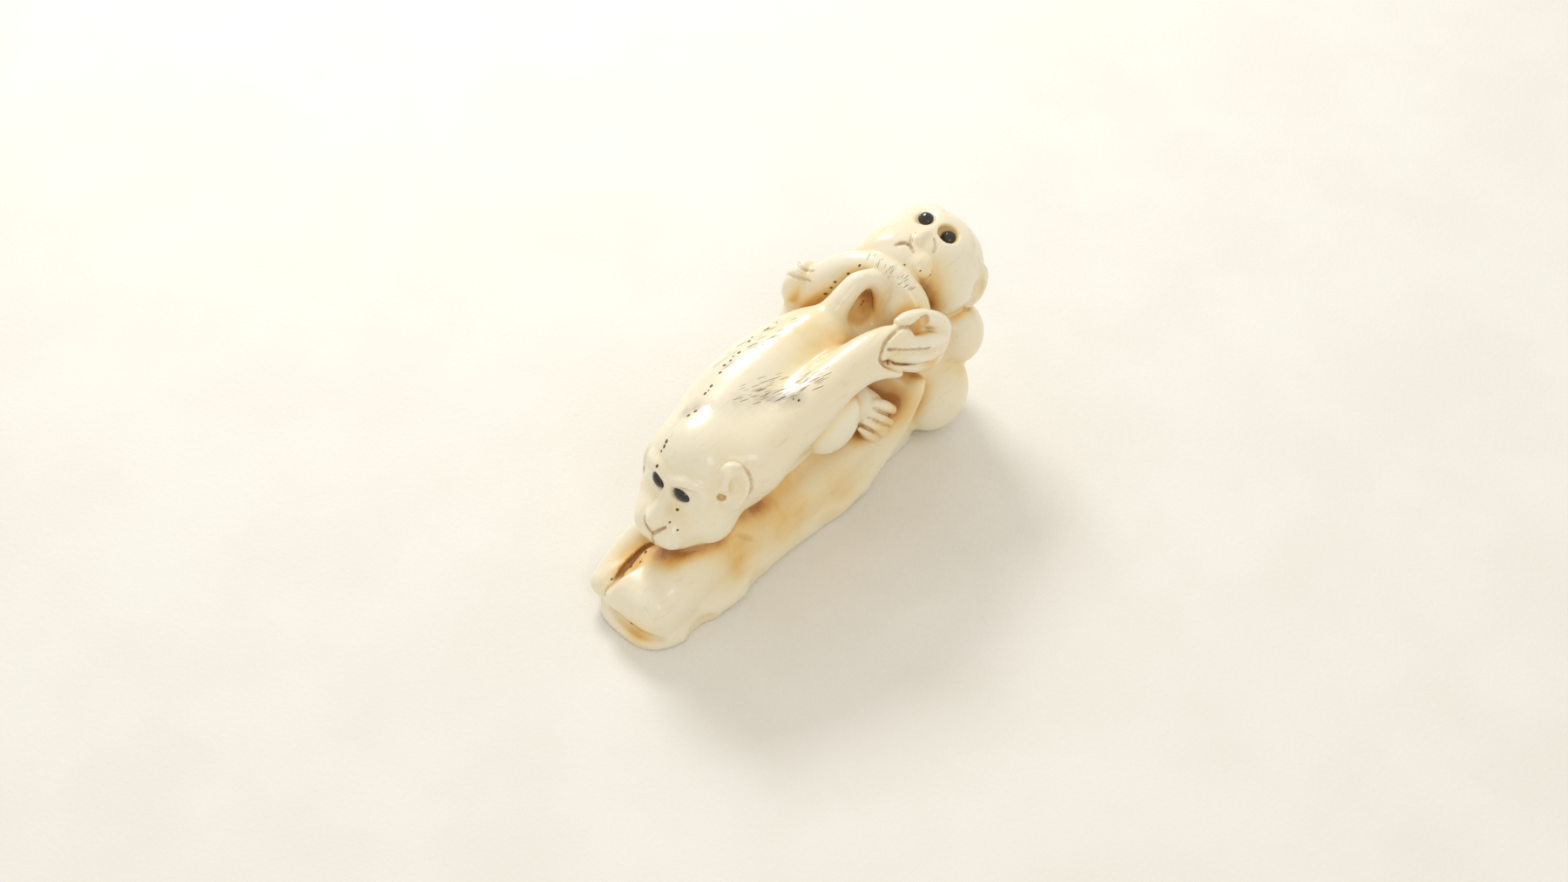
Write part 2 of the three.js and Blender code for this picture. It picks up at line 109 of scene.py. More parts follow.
class Egg(Placed):
    """An ellipsoid."""

    def box(self):
        reach = np.sqrt(((self.axes * self.half[:, None]) ** 2).sum(0))
        return self.middle - reach, self.middle + reach

    def distance(self, at):
        own = self.own(at)
        near = np.sqrt(sum((own[i] / self.half[i]) ** 2 for i in range(3)))
        slope = np.sqrt(sum((own[i] / self.half[i] ** 2) ** 2 for i in range(3)))
        return near * (near - 1) / np.maximum(slope, 1e-6)


def smooth_path(rows, steps):
    """A Catmull-Rom curve through rows of any width."""
    rows = np.asarray(rows, float)
    if len(rows) == 2 or steps == 1:
        return rows
    ends = np.vstack([2 * rows[0] - rows[1], rows, 2 * rows[-1] - rows[-2]])
    out = []
    for a, b, c, d in zip(ends[:-3], ends[1:-2], ends[2:-1], ends[3:]):
        for t in np.arange(steps) / steps:
            out.append(0.5 * (2 * b + (c - a) * t + (2 * a - 5 * b + 4 * c - d) * t * t
                              + (3 * b - a - 3 * c + d) * t ** 3))
    return np.array(out + [rows[-1]])


class Limb:
    """A round tapering form along a smooth path of rows (x, y, z, radius)."""

    def __init__(self, rows, steps=4):
        self.path = smooth_path(rows, steps)

    def box(self):
        radius = self.path[:, 3:4]
        return (self.path[:, :3] - radius).min(0), (self.path[:, :3] + radius).max(0)

    def distance(self, at):
        best = None
        for a, b in zip(self.path[:-1], self.path[1:]):
            along = b[:3] - a[:3]
            length = max(along @ along, 1e-9)
            t = np.clip(sum((at[j] - a[j]) * along[j] for j in range(3)) / length, 0, 1)
            away = np.sqrt(sum((at[j] - a[j] - t * along[j]) ** 2 for j in range(3)))
            away = away - (a[3] + (b[3] - a[3]) * t)
            best = away if best is None else np.minimum(best, away)
        return best


class Block(Placed):
    """A box with rounded edges."""

    def __init__(self, middle, half, rounding, axes=None):
        super().__init__(middle, half, axes)
        self.rounding = rounding

    def box(self):
        reach = (np.abs(self.axes) * self.half[:, None]).sum(0)
        return self.middle - reach, self.middle + reach

    def distance(self, at):
        own = self.own(at)
        past = [np.abs(own[i]) - (self.half[i] - self.rounding) for i in range(3)]
        outside = np.sqrt(sum(np.maximum(p, 0) ** 2 for p in past))
        inside = np.minimum(np.maximum(np.maximum(past[0], past[1]), past[2]), 0)
        return outside + inside - self.rounding


print("shapes ready: egg, limb, block")

# %% [markdown]
# ## The lump of clay and its tools
#
# Each tool only touches the part of the grid near its shape, so a hundred strokes take a second or two.
# Scribing is the graver: it lays a path of points on the surface, finds the surface by walking down the
# field's slope, and cuts a fine furrow there. The scribed paths are kept, because dirt settles in them and
# the finish darkens them.

# %% The lump of clay
FAR = 2.4


def trilinear(field, low, step, places):
    """The grid's value at each place, between its eight nearest grid points."""
    grid = (np.asarray(places) - low) / step
    cell = np.clip(np.floor(grid).astype(int), 0, np.array(field.shape) - 2)
    part = grid - cell
    total = 0
    for corner in np.ndindex(2, 2, 2):
        weight = np.prod([part[..., i] if corner[i] else 1 - part[..., i] for i in range(3)], axis=0)
        total = total + weight * field[tuple(cell[..., i] + corner[i] for i in range(3))]
    return total


class Clay:
    def __init__(self, low, high, step):
        self.low = np.asarray(low, float)
        self.step = step
        self.size = np.ceil((np.asarray(high) - self.low) / step).astype(int) + 1
        self.field = np.full(self.size, FAR, np.float32)
        self.ticks = [(self.low[i] + step * np.arange(self.size[i])).astype(np.float32) for i in range(3)]

    def near(self, shape, margin):
        low, high = shape.box()
        first = np.maximum(np.floor((low - margin - self.low) / self.step).astype(int), 0)
        last = np.minimum(np.ceil((high + margin - self.low) / self.step).astype(int) + 1, self.size)
        part = tuple(slice(max(0, a), max(0, b)) for a, b in zip(first, last))
        x, y, z = [self.ticks[i][part[i]] for i in range(3)]
        return part, (x[:, None, None], y[None, :, None], z[None, None, :])

    def add(self, shape, blend):
        part, at = self.near(shape, FAR + blend)
        old, new = self.field[part], shape.distance(at).astype(np.float32)
        overlap = np.maximum(blend - np.abs(old - new), 0) / blend
        self.field[part] = np.minimum(np.minimum(old, new) - overlap * overlap * blend * 0.25, FAR)

    def cut(self, shape, blend):
        part, at = self.near(shape, blend + 0.3)
        old, new = self.field[part], -shape.distance(at).astype(np.float32)
        overlap = np.maximum(blend - np.abs(old - new), 0) / blend
        self.field[part] = np.maximum(old, new) + overlap * overlap * blend * 0.25

    def sample(self, places):
        return trilinear(self.field, self.low, self.step, places)

    def slope(self, places):
        reach = self.step * 0.75
        places = np.asarray(places, float)
        steps = [self.sample(places + reach * e) - self.sample(places - reach * e) for e in np.eye(3)]
        return np.stack(steps, -1) / (2 * reach)

    def settle(self, places, rounds=8):
        """Walks each place down the slope until it lies on the surface."""
        places = np.asarray(places, float).copy()
        for _ in range(rounds):
            slope = self.slope(places)
            steep = np.maximum((slope * slope).sum(-1), 0.05)
            places -= (self.sample(places) / steep)[..., None] * slope
        return places


FINEST = 0.18
bone = Clay((-10.5, -27.5, -1.2), (10.5, 30.5, 27.0), FINEST)
print("clay grid:", bone.field.shape, "of", FINEST, "mm")

# %% [markdown]
# ## Names for the strokes
#
# Short names keep the carving readable: egg, limb and block add clay, scoop and furrow take it away, and
# scribe cuts a line. A class could hold them, but plain functions read like a list of what the hand does.

# %% The strokes
scribed = []


def egg(middle, half, blend=0.8, axes=None):
    bone.add(Egg(middle, half, axes), blend)


def limb(rows, blend=0.8, steps=4):
    bone.add(Limb(rows, steps), blend)


def block(middle, half, rounding, blend=0.8, axes=None):
    bone.add(Block(middle, half, rounding, axes), blend)


def scoop(middle, half, blend=0.5, axes=None):
    bone.cut(Egg(middle, half, axes), blend)


def furrow(rows, blend=0.4):
    bone.cut(Limb(rows), blend)


def scribe(points, width=0.35, depth=0.25, ink=1.0, blend=0.12):
    """Cuts a fine furrow along points laid on the surface, tapering at both ends."""
    path = bone.settle(smooth_path(points, 6)[:, :3])
    along = np.linspace(0, 1, len(path))
    taper = 0.35 + 0.65 * np.clip(np.minimum(along, 1 - along) / 0.2, 0, 1)
    out = bone.slope(path)
    out /= np.maximum(np.linalg.norm(out, axis=1, keepdims=True), 1e-6)
    radius = width / 2 * taper
    scribed.append((path, width, ink))
    bone.cut(Limb(np.c_[path + out * (radius - depth * taper)[:, None], radius], 1), blend)


def near_side(rows):
    return rows


def other_side(rows, shift=(0, 0, 0)):
    """The same rows on the far side, which the carver kept a little lower or further in."""
    return [(-row[0] + shift[0], row[1] + shift[1], row[2] + shift[2], *row[3:]) for row in rows]


print("tools ready")

# %% [markdown]
# ## The curled leaf
#
# The leaf is the seat of the whole piece: a long pad with a rounded lobe in front of the chin, a split down
# that lobe, and a wall that curls up on one side behind the knee. It is flat underneath, so that it stands
# by itself.

# %% Carve the leaf
def carve_leaf():
    block((0, -4, 1.5), (4.6, 19.5, 2.6), 1.6)
    block((0.5, -19, 2.2), (4.3, 5.8, 3.7), 2.6, 1.2)
    limb([(-3.3, -22, 0.8, 1.2), (-2.6, -23.7, 0.6, 1.1), (0, -24.3, 0.6, 1.1), (3, -24, 0.6, 1.1),
          (4.6, -21.6, 0.8, 1.1), (4.8, -18, 0.8, 1.1)], 0.6)
    limb([(1.2, -12, 6.2, 3), (1.9, -16.5, 5, 2.8), (1.9, -19.5, 4, 2.8)], 1.2)
    limb([(-3.4, -12, 5.6, 2.6), (-4.2, -16.5, 4.6, 2), (-4.7, -20, 3.3, 1.6),
          (-4.3, -23, 2.7, 1.35)], 1)
    limb([(4.4, -18, 1.4, 1.6), (4.9, -14, 1.4, 1.6), (4.3, -9, 1.7, 1.7), (4.4, -4, 1.4, 1.6),
          (5, 1, 1.3, 1.5),
          (5.1, 5, 1.6, 1.3)], 1)
    limb([(-4.6, -15, 1.8, 1.8), (-5, -8, 2, 1.8), (-4.6, 0, 1.8, 1.6), (-5, 7, 2, 1.6)], 1.2)
    egg((-0.5, -2, 7), (3, 13, 5.5), 1.5)
    limb([(1.8, -14, 4.6, 2.4), (2.6, -9, 4.4, 2.3), (2.7, -3, 4.2, 2.2), (2.9, 3, 4.4, 2.2),
          (3, 7, 5.4, 2.2)], 2)
    egg((1, 11, 5), (4, 5, 7.5), 1.5)
    rise, face = unit((1.3, 7.8, 9.8)), unit((0.445, -0.727, 0.520))
    turned = [rise, np.cross(face, rise), face]
    block((2.7, 9.4, 6), (6.6, 3.2, 1.1), 1, 1.2, turned)
    block((3.3, 9.2, 6.6), (6.2, 2.6, 1.3), 1.2, 1.4, turned)
    limb([(4.9, 5.2, 1, 1), (5.4, 8.8, 3.8, 1), (5.9, 11.6, 7.5, 0.9), (6.1, 13.3, 11, 0.7)], 1)


carve_leaf()
print("leaf carved")

# %% [markdown]
# ## The lying monkey
#
# Its back is one long swelling form. The head is the same width as the shoulders, and the near arm runs the
# whole length of the flank as a second ridge, so the valley between the two catches the light.

# %% Carve the lying monkey's masses
def carve_front_monkey():
    limb([(-0.2, -10, 15, 5.3), (-1, -5, 15.7, 5.5), (-1.3, 0, 16.5, 5.3), (-1.1, 4, 17.2, 4.3),
          (-0.8, 6, 18.2, 3)], 1.5)
    egg((-1.8, -3.5, 15.5), (5.3, 10, 5.3), 1.5)
    egg((-0.3, -3, 13.5), (6, 10, 5.2), 1.5)
    egg((0, -9, 14), (5.9, 6, 5.9), 1.5)
    egg((-0.8, 4, 16.4), (4.6, 4.8, 5.4), 1.2)
    egg((0, -12.9, 14.4), (5.5, 4.9, 6), 1.2)
    egg((-0.5, -17.2, 10.5), (3.7, 2.9, 3), 1)
    egg((2.7, -14.8, 11.6), (2.8, 2.9, 3.2), 1)
    egg((-2.7, -14.8, 11.4), (2.8, 2.9, 3.4), 1)
    egg((-0.3, -15.8, 9.6), (3.4, 2.9, 2), 1)
    # the near arm, with the notched end that the other monkey grasps
    limb([(4.2, -9.5, 16.3, 3), (4.6, -4.5, 18.1, 2.7), (5.1, 0.5, 19.7, 2.3), (5.6, 4.6, 20.8, 1.95),
          (6, 7.4, 21, 1.55), (6.4, 9, 20.8, 1.2), (6.7, 10.2, 20.5, 0.75), (6.6, 11, 20.8, 0.35)],
          2.4)
    limb([(5.2, -4, 17.4, 1.8), (5.8, 1, 19.6, 1.5), (6.6, 5, 19.1, 1.1), (7.5, 8.4, 16.8, 0.35)], 1)
    limb([(-4.6, -9, 12, 2.6), (-4.8, -3.5, 12.2, 2.2), (-5, 1.5, 12.6, 1.9), (-5.8, 5.3, 13.8, 1.7),
          (-6.8, 8.5, 16, 1.5)], 1.2)
    furrow([(6.8, -16, 6.8, 1.2), (6.7, -11.5, 9.3, 1.7), (6.5, -6, 11.6, 2.3), (6.4, -1, 10.9, 2.4),
            (6.6, 4, 10.8, 2.2)], 0.3)
    furrow([(-6.8, -14, 7.2, 1), (-6.9, -9, 8, 1.6), (-6.8, -2, 8.6, 2), (-6.8, 4, 9.6, 2)], 0.3)
    # the tail curls up and over, into the loop of the other monkey's arms
    limb([(-0.9, 4, 19, 3), (-0.7, 6.6, 20.3, 1.8), (-0.45, 8.6, 21.95, 1.2),
          (-0.2, 10.4, 23, 1.05)], 0.7)


carve_front_monkey()
print("lying monkey blocked out")

# %% [markdown]
# ## The sitting monkey
#
# It sits behind with its head thrown back, so its face looks up. Round eggs for the head, shoulders and
# hips keep the soft, full forms. The head joins with a narrow blend, which leaves the dark line at the
# neck.

# %% Carve the sitting monkey's masses
def carve_rear_monkey():
    egg((0, 18.5, 9), (5.6, 7.5, 8.6), 1.2)
    for side in (1, -1):
        egg((side * 3.6, 21.3, 11), (3.8, 3.6, 3.8), 1)
        egg((side * 4, 18.2, 4.8), (3.9, 4.3, 4.9), 1)
    egg((0.2, 13.5, 16), (3.6, 3.2, 4), 1)
    egg((0, 9.5, 14), (3.4, 4.5, 4.5), 1)
    egg((0, 18, 2.4), (4.6, 6, 3.2), 1)
    egg((-0.4, 21.8, 17.8), (6.2, 6, 5.7), 0.4)
    egg((-1, 17.8, 20.3), (4.4, 4.6, 3.8), 1)


# %% [markdown]
# ## Arms and tail
#
# The tail rises from the back, curls over and goes down behind the arm. It is a limb added after the arm
# with a thin blend, so that the two stay separate forms, and a scoop opens the loop.

# %% Close its arms round the tail
def carve_arms_and_tail():
    limb([(-6.6, 10.2, 16.6, 1.9), (-5.2, 11.4, 19.6, 1.9), (-2.6, 13.2, 21.8, 1.7), (0.8, 14.4, 21.9, 1.6),
          (3.6, 14.7, 20.1, 1.6), (5.4, 13.7, 18, 1.5)], 0.25, 6)
    egg((-7.6, 10.3, 18.5), (1.4, 2.5, 2.6), 0.5)
    egg((2.7, 13.2, 19), (1.6, 1.4, 2.2), 0.8)
    limb([(-0.45, 8.6, 21.95, 1.2), (-0.2, 10.4, 23, 1.05), (0.35, 12.1, 22.75, 1),
          (1, 12.9, 21.2, 1),
          (1.35, 12.6, 19.4, 0.95), (1.5, 12, 17.6, 0.8)], 0.2, 6)
    scoop((0.2, 10.4, 20.1), (0.8, 1.5, 1.9), 0.7)


carve_rear_monkey()
carve_arms_and_tail()
print("sitting monkey blocked out")

# %% [markdown]
# ## Knees, feet and hands
#
# The lying monkey's knee is a smooth disc pressed against the flank, with a small foot behind it. The hands
# are made of one tapering band for each finger. Thin blends keep a dark line between neighbours.

# %% Carve the knees and feet
def carve_legs():
    egg((5.6, 0.2, 14.8), (2.2, 3.6, 3.4), 0.25)
    egg((-5.6, 0.2, 11.5), (2.2, 3.6, 3.4), 0.25)
    foot = [(4, 5.2, 13, 2), (4.9, 6.8, 10.8, 1.9), (5.3, 7.2, 8.6, 1.6)]
    limb(foot, 0.5)
    limb(other_side(foot), 0.5)
    toes = [[(5.9, 6.3, 13.2, 0.4), (6.2, 7.6, 11.9, 0.62), (6.1, 9.1, 10.1, 0.55)],
            [(6, 5.5, 12.4, 0.3), (6.35, 6.8, 11, 0.6), (6.3, 8.5, 8.9, 0.5)],
            [(5.9, 4.8, 11.6, 0.3), (6.3, 6.1, 10.2, 0.55), (6.2, 7.8, 7.9, 0.48)],
            [(5.7, 4.5, 10.6, 0.3), (6, 5.6, 9.2, 0.5), (5.9, 7, 7.2, 0.42)]]
    between = [[(6.3, 5.9, 12.9), (6.7, 7.2, 11.4), (6.4, 9, 9.3)],
               [(6.2, 5.1, 12.1), (6.6, 6.4, 10.7), (6.3, 8.2, 8.4)],
               [(6, 4.6, 11.2), (6.4, 5.8, 9.8), (6.1, 7.4, 7.5)]]
    for side in (near_side, other_side):
        for toe in toes:
            limb(side(toe), 0.12)
        for line in between:
            scribe(side(line), 0.26, 0.2, 0.6)


# %% [markdown]
# ## The grasping hand
#
# Three fingers and a thumb close round the wrist and leave a ring between them. Each finger is one tapering
# limb. Scribed grooves part them, because a blend alone would melt them together.

# %% Carve the grasping hand
def carve_hand():
    egg((6, 13.4, 16.6), (1.6, 3.2, 2.8), 0.5)
    limb([(6.7, 15.2, 16.4, 1), (7.2, 13.4, 17.7, 1), (7.5, 11.4, 19, 0.95), (7.4, 9.6, 20.1, 0.85),
          (7.1, 7.8, 21.1, 0.7), (6.9, 6.9, 21.7, 0.4)], 0.15)
    limb([(6.6, 15.4, 15, 1.05), (7.2, 13.4, 16.1, 1), (7.5, 11.2, 17.4, 0.95), (7.35, 9.4, 18.7, 0.88),
          (7.1, 7.7, 19.8, 0.75), (6.9, 6.9, 20.4, 0.5)], 0.1)
    limb([(6.3, 15.4, 13.8, 1.05), (6.9, 13.6, 14.5, 1), (7.1, 11.6, 15.6, 0.9), (7.05, 9.8, 16.9, 0.82),
          (6.9, 8.4, 18, 0.72), (6.8, 7.4, 18.7, 0.5)], 0.1)
    limb([(6.3, 16, 15.4, 1.2), (6.4, 16.1, 17.2, 1.1), (6.4, 14.8, 19, 1), (6.2, 12.9, 20.6, 0.9),
          (6, 11.1, 21.5, 0.8), (5.9, 9.8, 22, 0.5)], 0.3, 6)
    egg((5.9, 12, 19.2), (1, 2.4, 1.1), 0.5)
    scoop((6.75, 11.9, 20.6), (0.6, 1.5, 0.75), 0.4)
    scribe([(6.6, 10.2, 21.2), (6.5, 9.2, 21.8), (6.8, 7.9, 22.3), (7, 6.7, 22.3), (7.2, 5.8, 21.9),
            (7.5, 5.2, 21.2), (7.5, 5.7, 20.2), (7.4, 6.8, 18.9), (7.8, 8.1, 17.4)], 0.36, 0.3, 0.35)
    scribe([(7.4, 6.5, 21.6), (7.9, 8, 20.6), (8.2, 9.7, 19.7), (8.4, 12, 18.4)], 0.3, 0.3)
    scribe([(7.5, 5.7, 20.6), (7.4, 8, 18.5), (7.9, 10, 17.3), (8.2, 12.1, 16.2)], 0.3, 0.3)


carve_legs()
carve_hand()
for line in ([(-8, 10.6, 20.6), (-7.3, 10.1, 21), (-6, 10.5, 21.1)],
             [(-8.7, 9.4, 19.8), (-8, 9, 20.2), (-7, 9.1, 20.5), (-5.7, 9.7, 20.3)]):
    scribe(line, 0.3, 0.22, 0.6)
print("legs and hands carved")

# %% [markdown]
# ## The lying monkey's face
#
# A low brow runs over both eyes, and a narrow nose widens to the lip. The sockets are cut before the beads
# go in. Lines that are too fine to model as forms, such as the lip, are scribed.

# %% Carve the lying monkey's face
def carve_front_face():
    limb([(-3.6, -16, 15.6, 0.45), (-3.1, -16.3, 16.8, 0.5), (-1.8, -17.05, 17.2, 0.5),
          (0, -17.3, 16.6, 0.4),
          (1.8, -17.05, 17.2, 0.5), (3.1, -16.3, 16.8, 0.5), (3.7, -16, 15.7, 0.45),
          (3.6, -16.3, 14.6, 0.4)], 0.6)
    slant = [unit((1, 0, -0.24)), unit((0, -1, 0.1)), unit((0.24, 0.1, 1))]
    for name in ("front_monkey_left_eye", "front_monkey_right_eye"):
        x, y, z = EYES[name]
        scoop((x, y - 0.8, z), (1.2, 0.9, 0.88), 0.25, slant)
    limb([(0, -16.8, 15.4, 0.3), (-0.05, -18.1, 14, 0.65), (-0.15, -19.3, 12.5, 0.95)], 0.8)
    for side, inward in ((1, 0), (-1, -0.2)):
        egg((side * 1.2 + inward, -18.9, 10.6), (1.6, 1.2, 1.5), 0.5)
    scribe([(-1.2, -19.7, 12.3), (-0.7, -20, 11.6), (0, -20.2, 11), (0.6, -19.7, 11.5),
            (1.2, -19.3, 12.1)],
           0.3, 0.22)
    scribe([(0.05, -20, 11.1), (0, -20, 10), (-0.1, -19.9, 9)], 0.28, 0.2)


# %% [markdown]
# ## The ears
#
# An ear is a raised shell with a rolled rim and a dish inside. One function carves it on either side,
# because the far ear sits lower.

# %% Carve the lying monkey's ears
def carve_ear(lift):
    """lift turns a place on the near side into one on this ear's side."""
    egg(lift([(4.8, -13.7, 16.2)])[0], (0.9, 1.4, 2.4), 0.6)
    limb(lift([(4.1, -14.6, 17.7, 0.3), (4.2, -14, 18.2, 0.4), (4.7, -13.2, 18.4, 0.45),
               (5.2, -12.7, 17.9, 0.48),
               (5.6, -12.5, 17, 0.48), (5.8, -12.6, 16, 0.48), (5.75, -13, 14.9, 0.45),
               (5.5, -13.7, 14, 0.4),
               (4.9, -14.4, 13.4, 0.3)]), 0.2, 6)
    scoop(lift([(5.75, -13.95, 16.85)])[0], (0.7, 0.65, 1.2), 0.5)
    scoop(lift([(4.8, -15, 15.7)])[0], (0.4, 0.38, 0.45), 0.3)
    limb(lift([(5, -13.6, 17, 0.2), (5.2, -13.6, 16.3, 0.24), (5.15, -14.1, 15.3, 0.2)]), 0.2)
    scribe(lift([(5.3, -12.4, 18.4), (5.9, -12.2, 17.2), (6.15, -12.3, 15.8), (6, -12.9, 14.3)]), 0.3,
           0.2, 0.5)


def carve_front_ears():
    carve_ear(near_side)
    carve_ear(lambda rows: other_side(rows, (0, -0.8, -2.4)))


carve_front_face()
carve_front_ears()
print("lying monkey's face carved")

# %% [markdown]
# ## The sitting monkey's face
#
# The muzzle is two soft cushions under a short nose, turned with the head. The sockets are wide and shallow
# round the beads, and the ears are plain rolled rims.

# %% Carve the sitting monkey's face
def carve_rear_face():
    across = [unit((0.74, 0.67, 0)), unit((-0.67, 0.74, 0)), (0, 0, 1)]
    egg((-1.2, 17.2, 22.75), (2.3, 1.3, 1.35), 0.35, across)
    egg((2, 17.4, 21.9), (1.6, 1.7, 1.4), 0.35)
    for name in ("rear_monkey_left_eye", "rear_monkey_right_eye"):
        x, y, z = EYES[name]
        scoop((x + 0.1, y - 0.3, z + 0.85), (1.15, 1.15, 0.95), 0.4)
    limb([(0.4, 21.4, 23, 0.4), (0.4, 20.2, 23.4, 0.5), (0.4, 19.2, 23.5, 0.55)], 0.5)
    egg((0.5, 18.9, 23.55), (0.6, 0.75, 0.55), 0.3)
    scribe([(-0.3, 16.6, 24), (0.1, 17.4, 23.9), (0.7, 17.7, 23.7), (1.5, 17.4, 23.8)], 0.35, 0.3, 0.7)
    scribe([(-0.1, 19.4, 24.3), (0, 18.8, 24.1), (0.5, 18.1, 23.8), (0.5, 17.7, 23.7)], 0.3, 0.22, 0.6)
    scribe([(1.5, 20.6, 23.2), (2.3, 20, 22.9), (2.5, 19.4, 22.8)], 0.3, 0.12, 0.6)
    limb([(-3.9, 23.4, 21.6, 0.5), (-2.9, 24.4, 22, 0.6), (-1.4, 24.6, 22.5, 0.6), (0, 24.2, 22.6, 0.55),
          (1.4, 24.6, 22.2, 0.6), (2.9, 24.4, 21.6, 0.6), (3.9, 23.4, 20.8, 0.5)], 0.8)
    ear = [(4.9, 24, 19.5, 0.35), (5.3, 24.3, 18.5, 0.5), (5.5, 24, 17, 0.55), (5.4, 23.2, 15.6, 0.5),
           (5, 22.3, 14.9, 0.4)]
    for rows, side, inward in ((ear, 1, 0), (other_side(ear, (-0.5, 0, 0)), -1, -0.5)):
        limb(rows, 0.3)
        scoop((side * 5.9 + inward, 23, 17.1), (0.6, 0.85, 1.3), 0.3)


# %% [markdown]
# ## The leaf's lobe and the underside
#
# Last come the cuts through finished forms: the split down the lobe, bites out of the wavy edge, and two
# cord holes underneath that meet inside. A flat cut at the ground lets the piece stand.

# %% Split the leaf's lobe and flatten the underside
def finish_leaf():
    scoop((6.2, -19.6, 0.6), (1, 2, 1.5), 0.6)
    scoop((6.7, -11.4, 1.2), (0.9, 1.6, 2), 0.6)
    scoop((6.9, -1, 1.2), (0.9, 1.8, 2), 0.6)
    furrow([(-1.8, -18, 7.8, 0.6), (-2.3, -20.2, 6.2, 1), (-2.6, -22.5, 5.4, 1.1),
            (-3, -24.8, 4.4, 0.8)], 0.6)
    scribe([(-2.2, -17.6, 5.8), (-2.7, -19, 5.3), (-2.8, -20.6, 4.9), (-2.8, -22.6, 4.1)], 0.7, 0.7, 0.55,
           0.3)
    scribe([(-2.9, -21.4, 4.6), (-2.6, -23, 4), (-2.9, -24.6, 3)], 0.3, 0.2, 0.5)
    scribe([(-1.6, -24.6, 2.2), (0.6, -25, 1.9), (2.6, -24.8, 1.8), (4.6, -23.8, 1.5)], 1.1, 0.35, 0.3, 0.3)
    scribe([(4.1, -12.4, 7.4), (4.6, -11.4, 6.4), (4.9, -10.2, 5)], 0.3, 0.2, 0.25, 0.3)
    # the two cord holes in the underside, joined inside
    furrow([(0, -7, -1, 1.6), (0, -6.2, 2.64, 1.6), (0, -3, 4.4, 1.25), (0, 0.2, 2.64, 1.25),
            (0, 1, -1, 1.25)], 0.2)
    bone.cut(Block((0, 0, -10), (40, 40, 10), 0.05), 0.05)


carve_rear_face()
finish_leaf()
print("sitting monkey's face and leaf finished")

# %% [markdown]
# ## From clay to mesh
#
# Surface nets turn the field into a mesh: each grid cell that the surface crosses gets one vertex, at the
# mean of its edge crossings, and each crossed edge gets one quad. The fine mesh is then thinned with a
# Decimate modifier, which keeps triangles where the form is busy, and the result is kept as a plain mesh.

# %% Mesh the clay
def surface_net(clay):
    field = clay.field
    cells = tuple(np.array(field.shape) - 1)
    total, count, crossings = np.zeros(cells + (3,)), np.zeros(cells, np.int32), []
    for axis in range(3):
        here, there = [slice(None)] * 3, [slice(None)] * 3
        here[axis], there[axis] = slice(0, -1), slice(1, None)
        a, b = field[tuple(here)], field[tuple(there)]
        crossed = (a < 0) != (b < 0)
        index = np.argwhere(crossed)
        place = index.astype(float)
        place[:, axis] += a[crossed] / (a[crossed] - b[crossed])
        across = [i for i in range(3) if i != axis]
        for first, second in ((0, 0), (0, -1), (-1, 0), (-1, -1)):
            cell = index.copy()
            cell[:, across[0]] += first
            cell[:, across[1]] += second
            np.add.at(total, tuple(cell.T), place)
            np.add.at(count, tuple(cell.T), 1)
        crossings.append((axis, index, a[crossed] < 0))
    used = count > 0
    number = np.full(cells, -1)
    number[used] = np.arange(used.sum())
    quads = []
    for axis, index, leaving in crossings:
        first, second = (axis + 1) % 3, (axis + 2) % 3
        corners = []
        for a, b in ((-1, -1), (0, -1), (0, 0), (-1, 0)):
            cell = index.copy()
            cell[:, first] += a
            cell[:, second] += b
            corners.append(number[tuple(cell.T)])
        quad = np.stack(corners, 1)
        quad[~leaving] = quad[~leaving][:, ::-1]
        quads.append(quad)
    return total[used] / count[used][:, None] * clay.step + clay.low, np.vstack(quads)


def object_from(name, vertices, faces):
    mesh = bpy.data.meshes.new(name)
    mesh.from_pydata(vertices.tolist(), [], faces.tolist())
    mesh.update()
    made = bpy.data.objects.new(name, mesh)
    bpy.context.scene.collection.objects.link(made)
    return made


def bake_modifiers(piece, name):
    """Replaces the piece's mesh with its evaluated mesh, and takes the modifiers off."""
    seen = piece.evaluated_get(bpy.context.evaluated_depsgraph_get())
    mesh = bpy.data.meshes.new_from_object(seen)
    mesh.name = name
    piece.modifiers.clear()
    piece.data = mesh
    return piece


TRIANGLES = 190_000
vertices, quads = surface_net(bone)
carving = object_from("bone_carving", (vertices + ORIGIN) * MM, quads)
if len(quads) * 2 > TRIANGLES:
    thin = carving.modifiers.new("thin", "DECIMATE")
    thin.ratio = TRIANGLES / (len(quads) * 2)
    bake_modifiers(carving, "bone_carving")
carving.data.shade_smooth()
print("bone carving:", len(carving.data.vertices), "vertices,", len(carving.data.polygons), "faces")

# %% [markdown]
# ## Where stain settles, and where shade is painted
#
# Old bone is warm brown in its hollows and nearly white where hands have polished it. The field already
# knows where the hollows are: a point a little above a dimple is closer to the surface than it should be,
# and this narrow measure stands for the patina in the recesses. A second measure asks how much bone stands
# around a place, which finds the wide shadows under a chin or a belly: that darkening is painted shade.
# Both are written on the vertices, so the material can read them by name.

# %% Measure the hollows
def shelter(places, out, reach):
    """0 on an open surface, 1 at the bottom of a hollow narrower than reach."""
    return np.clip(1 - bone.sample(places + out * reach) / reach, 0, 1)


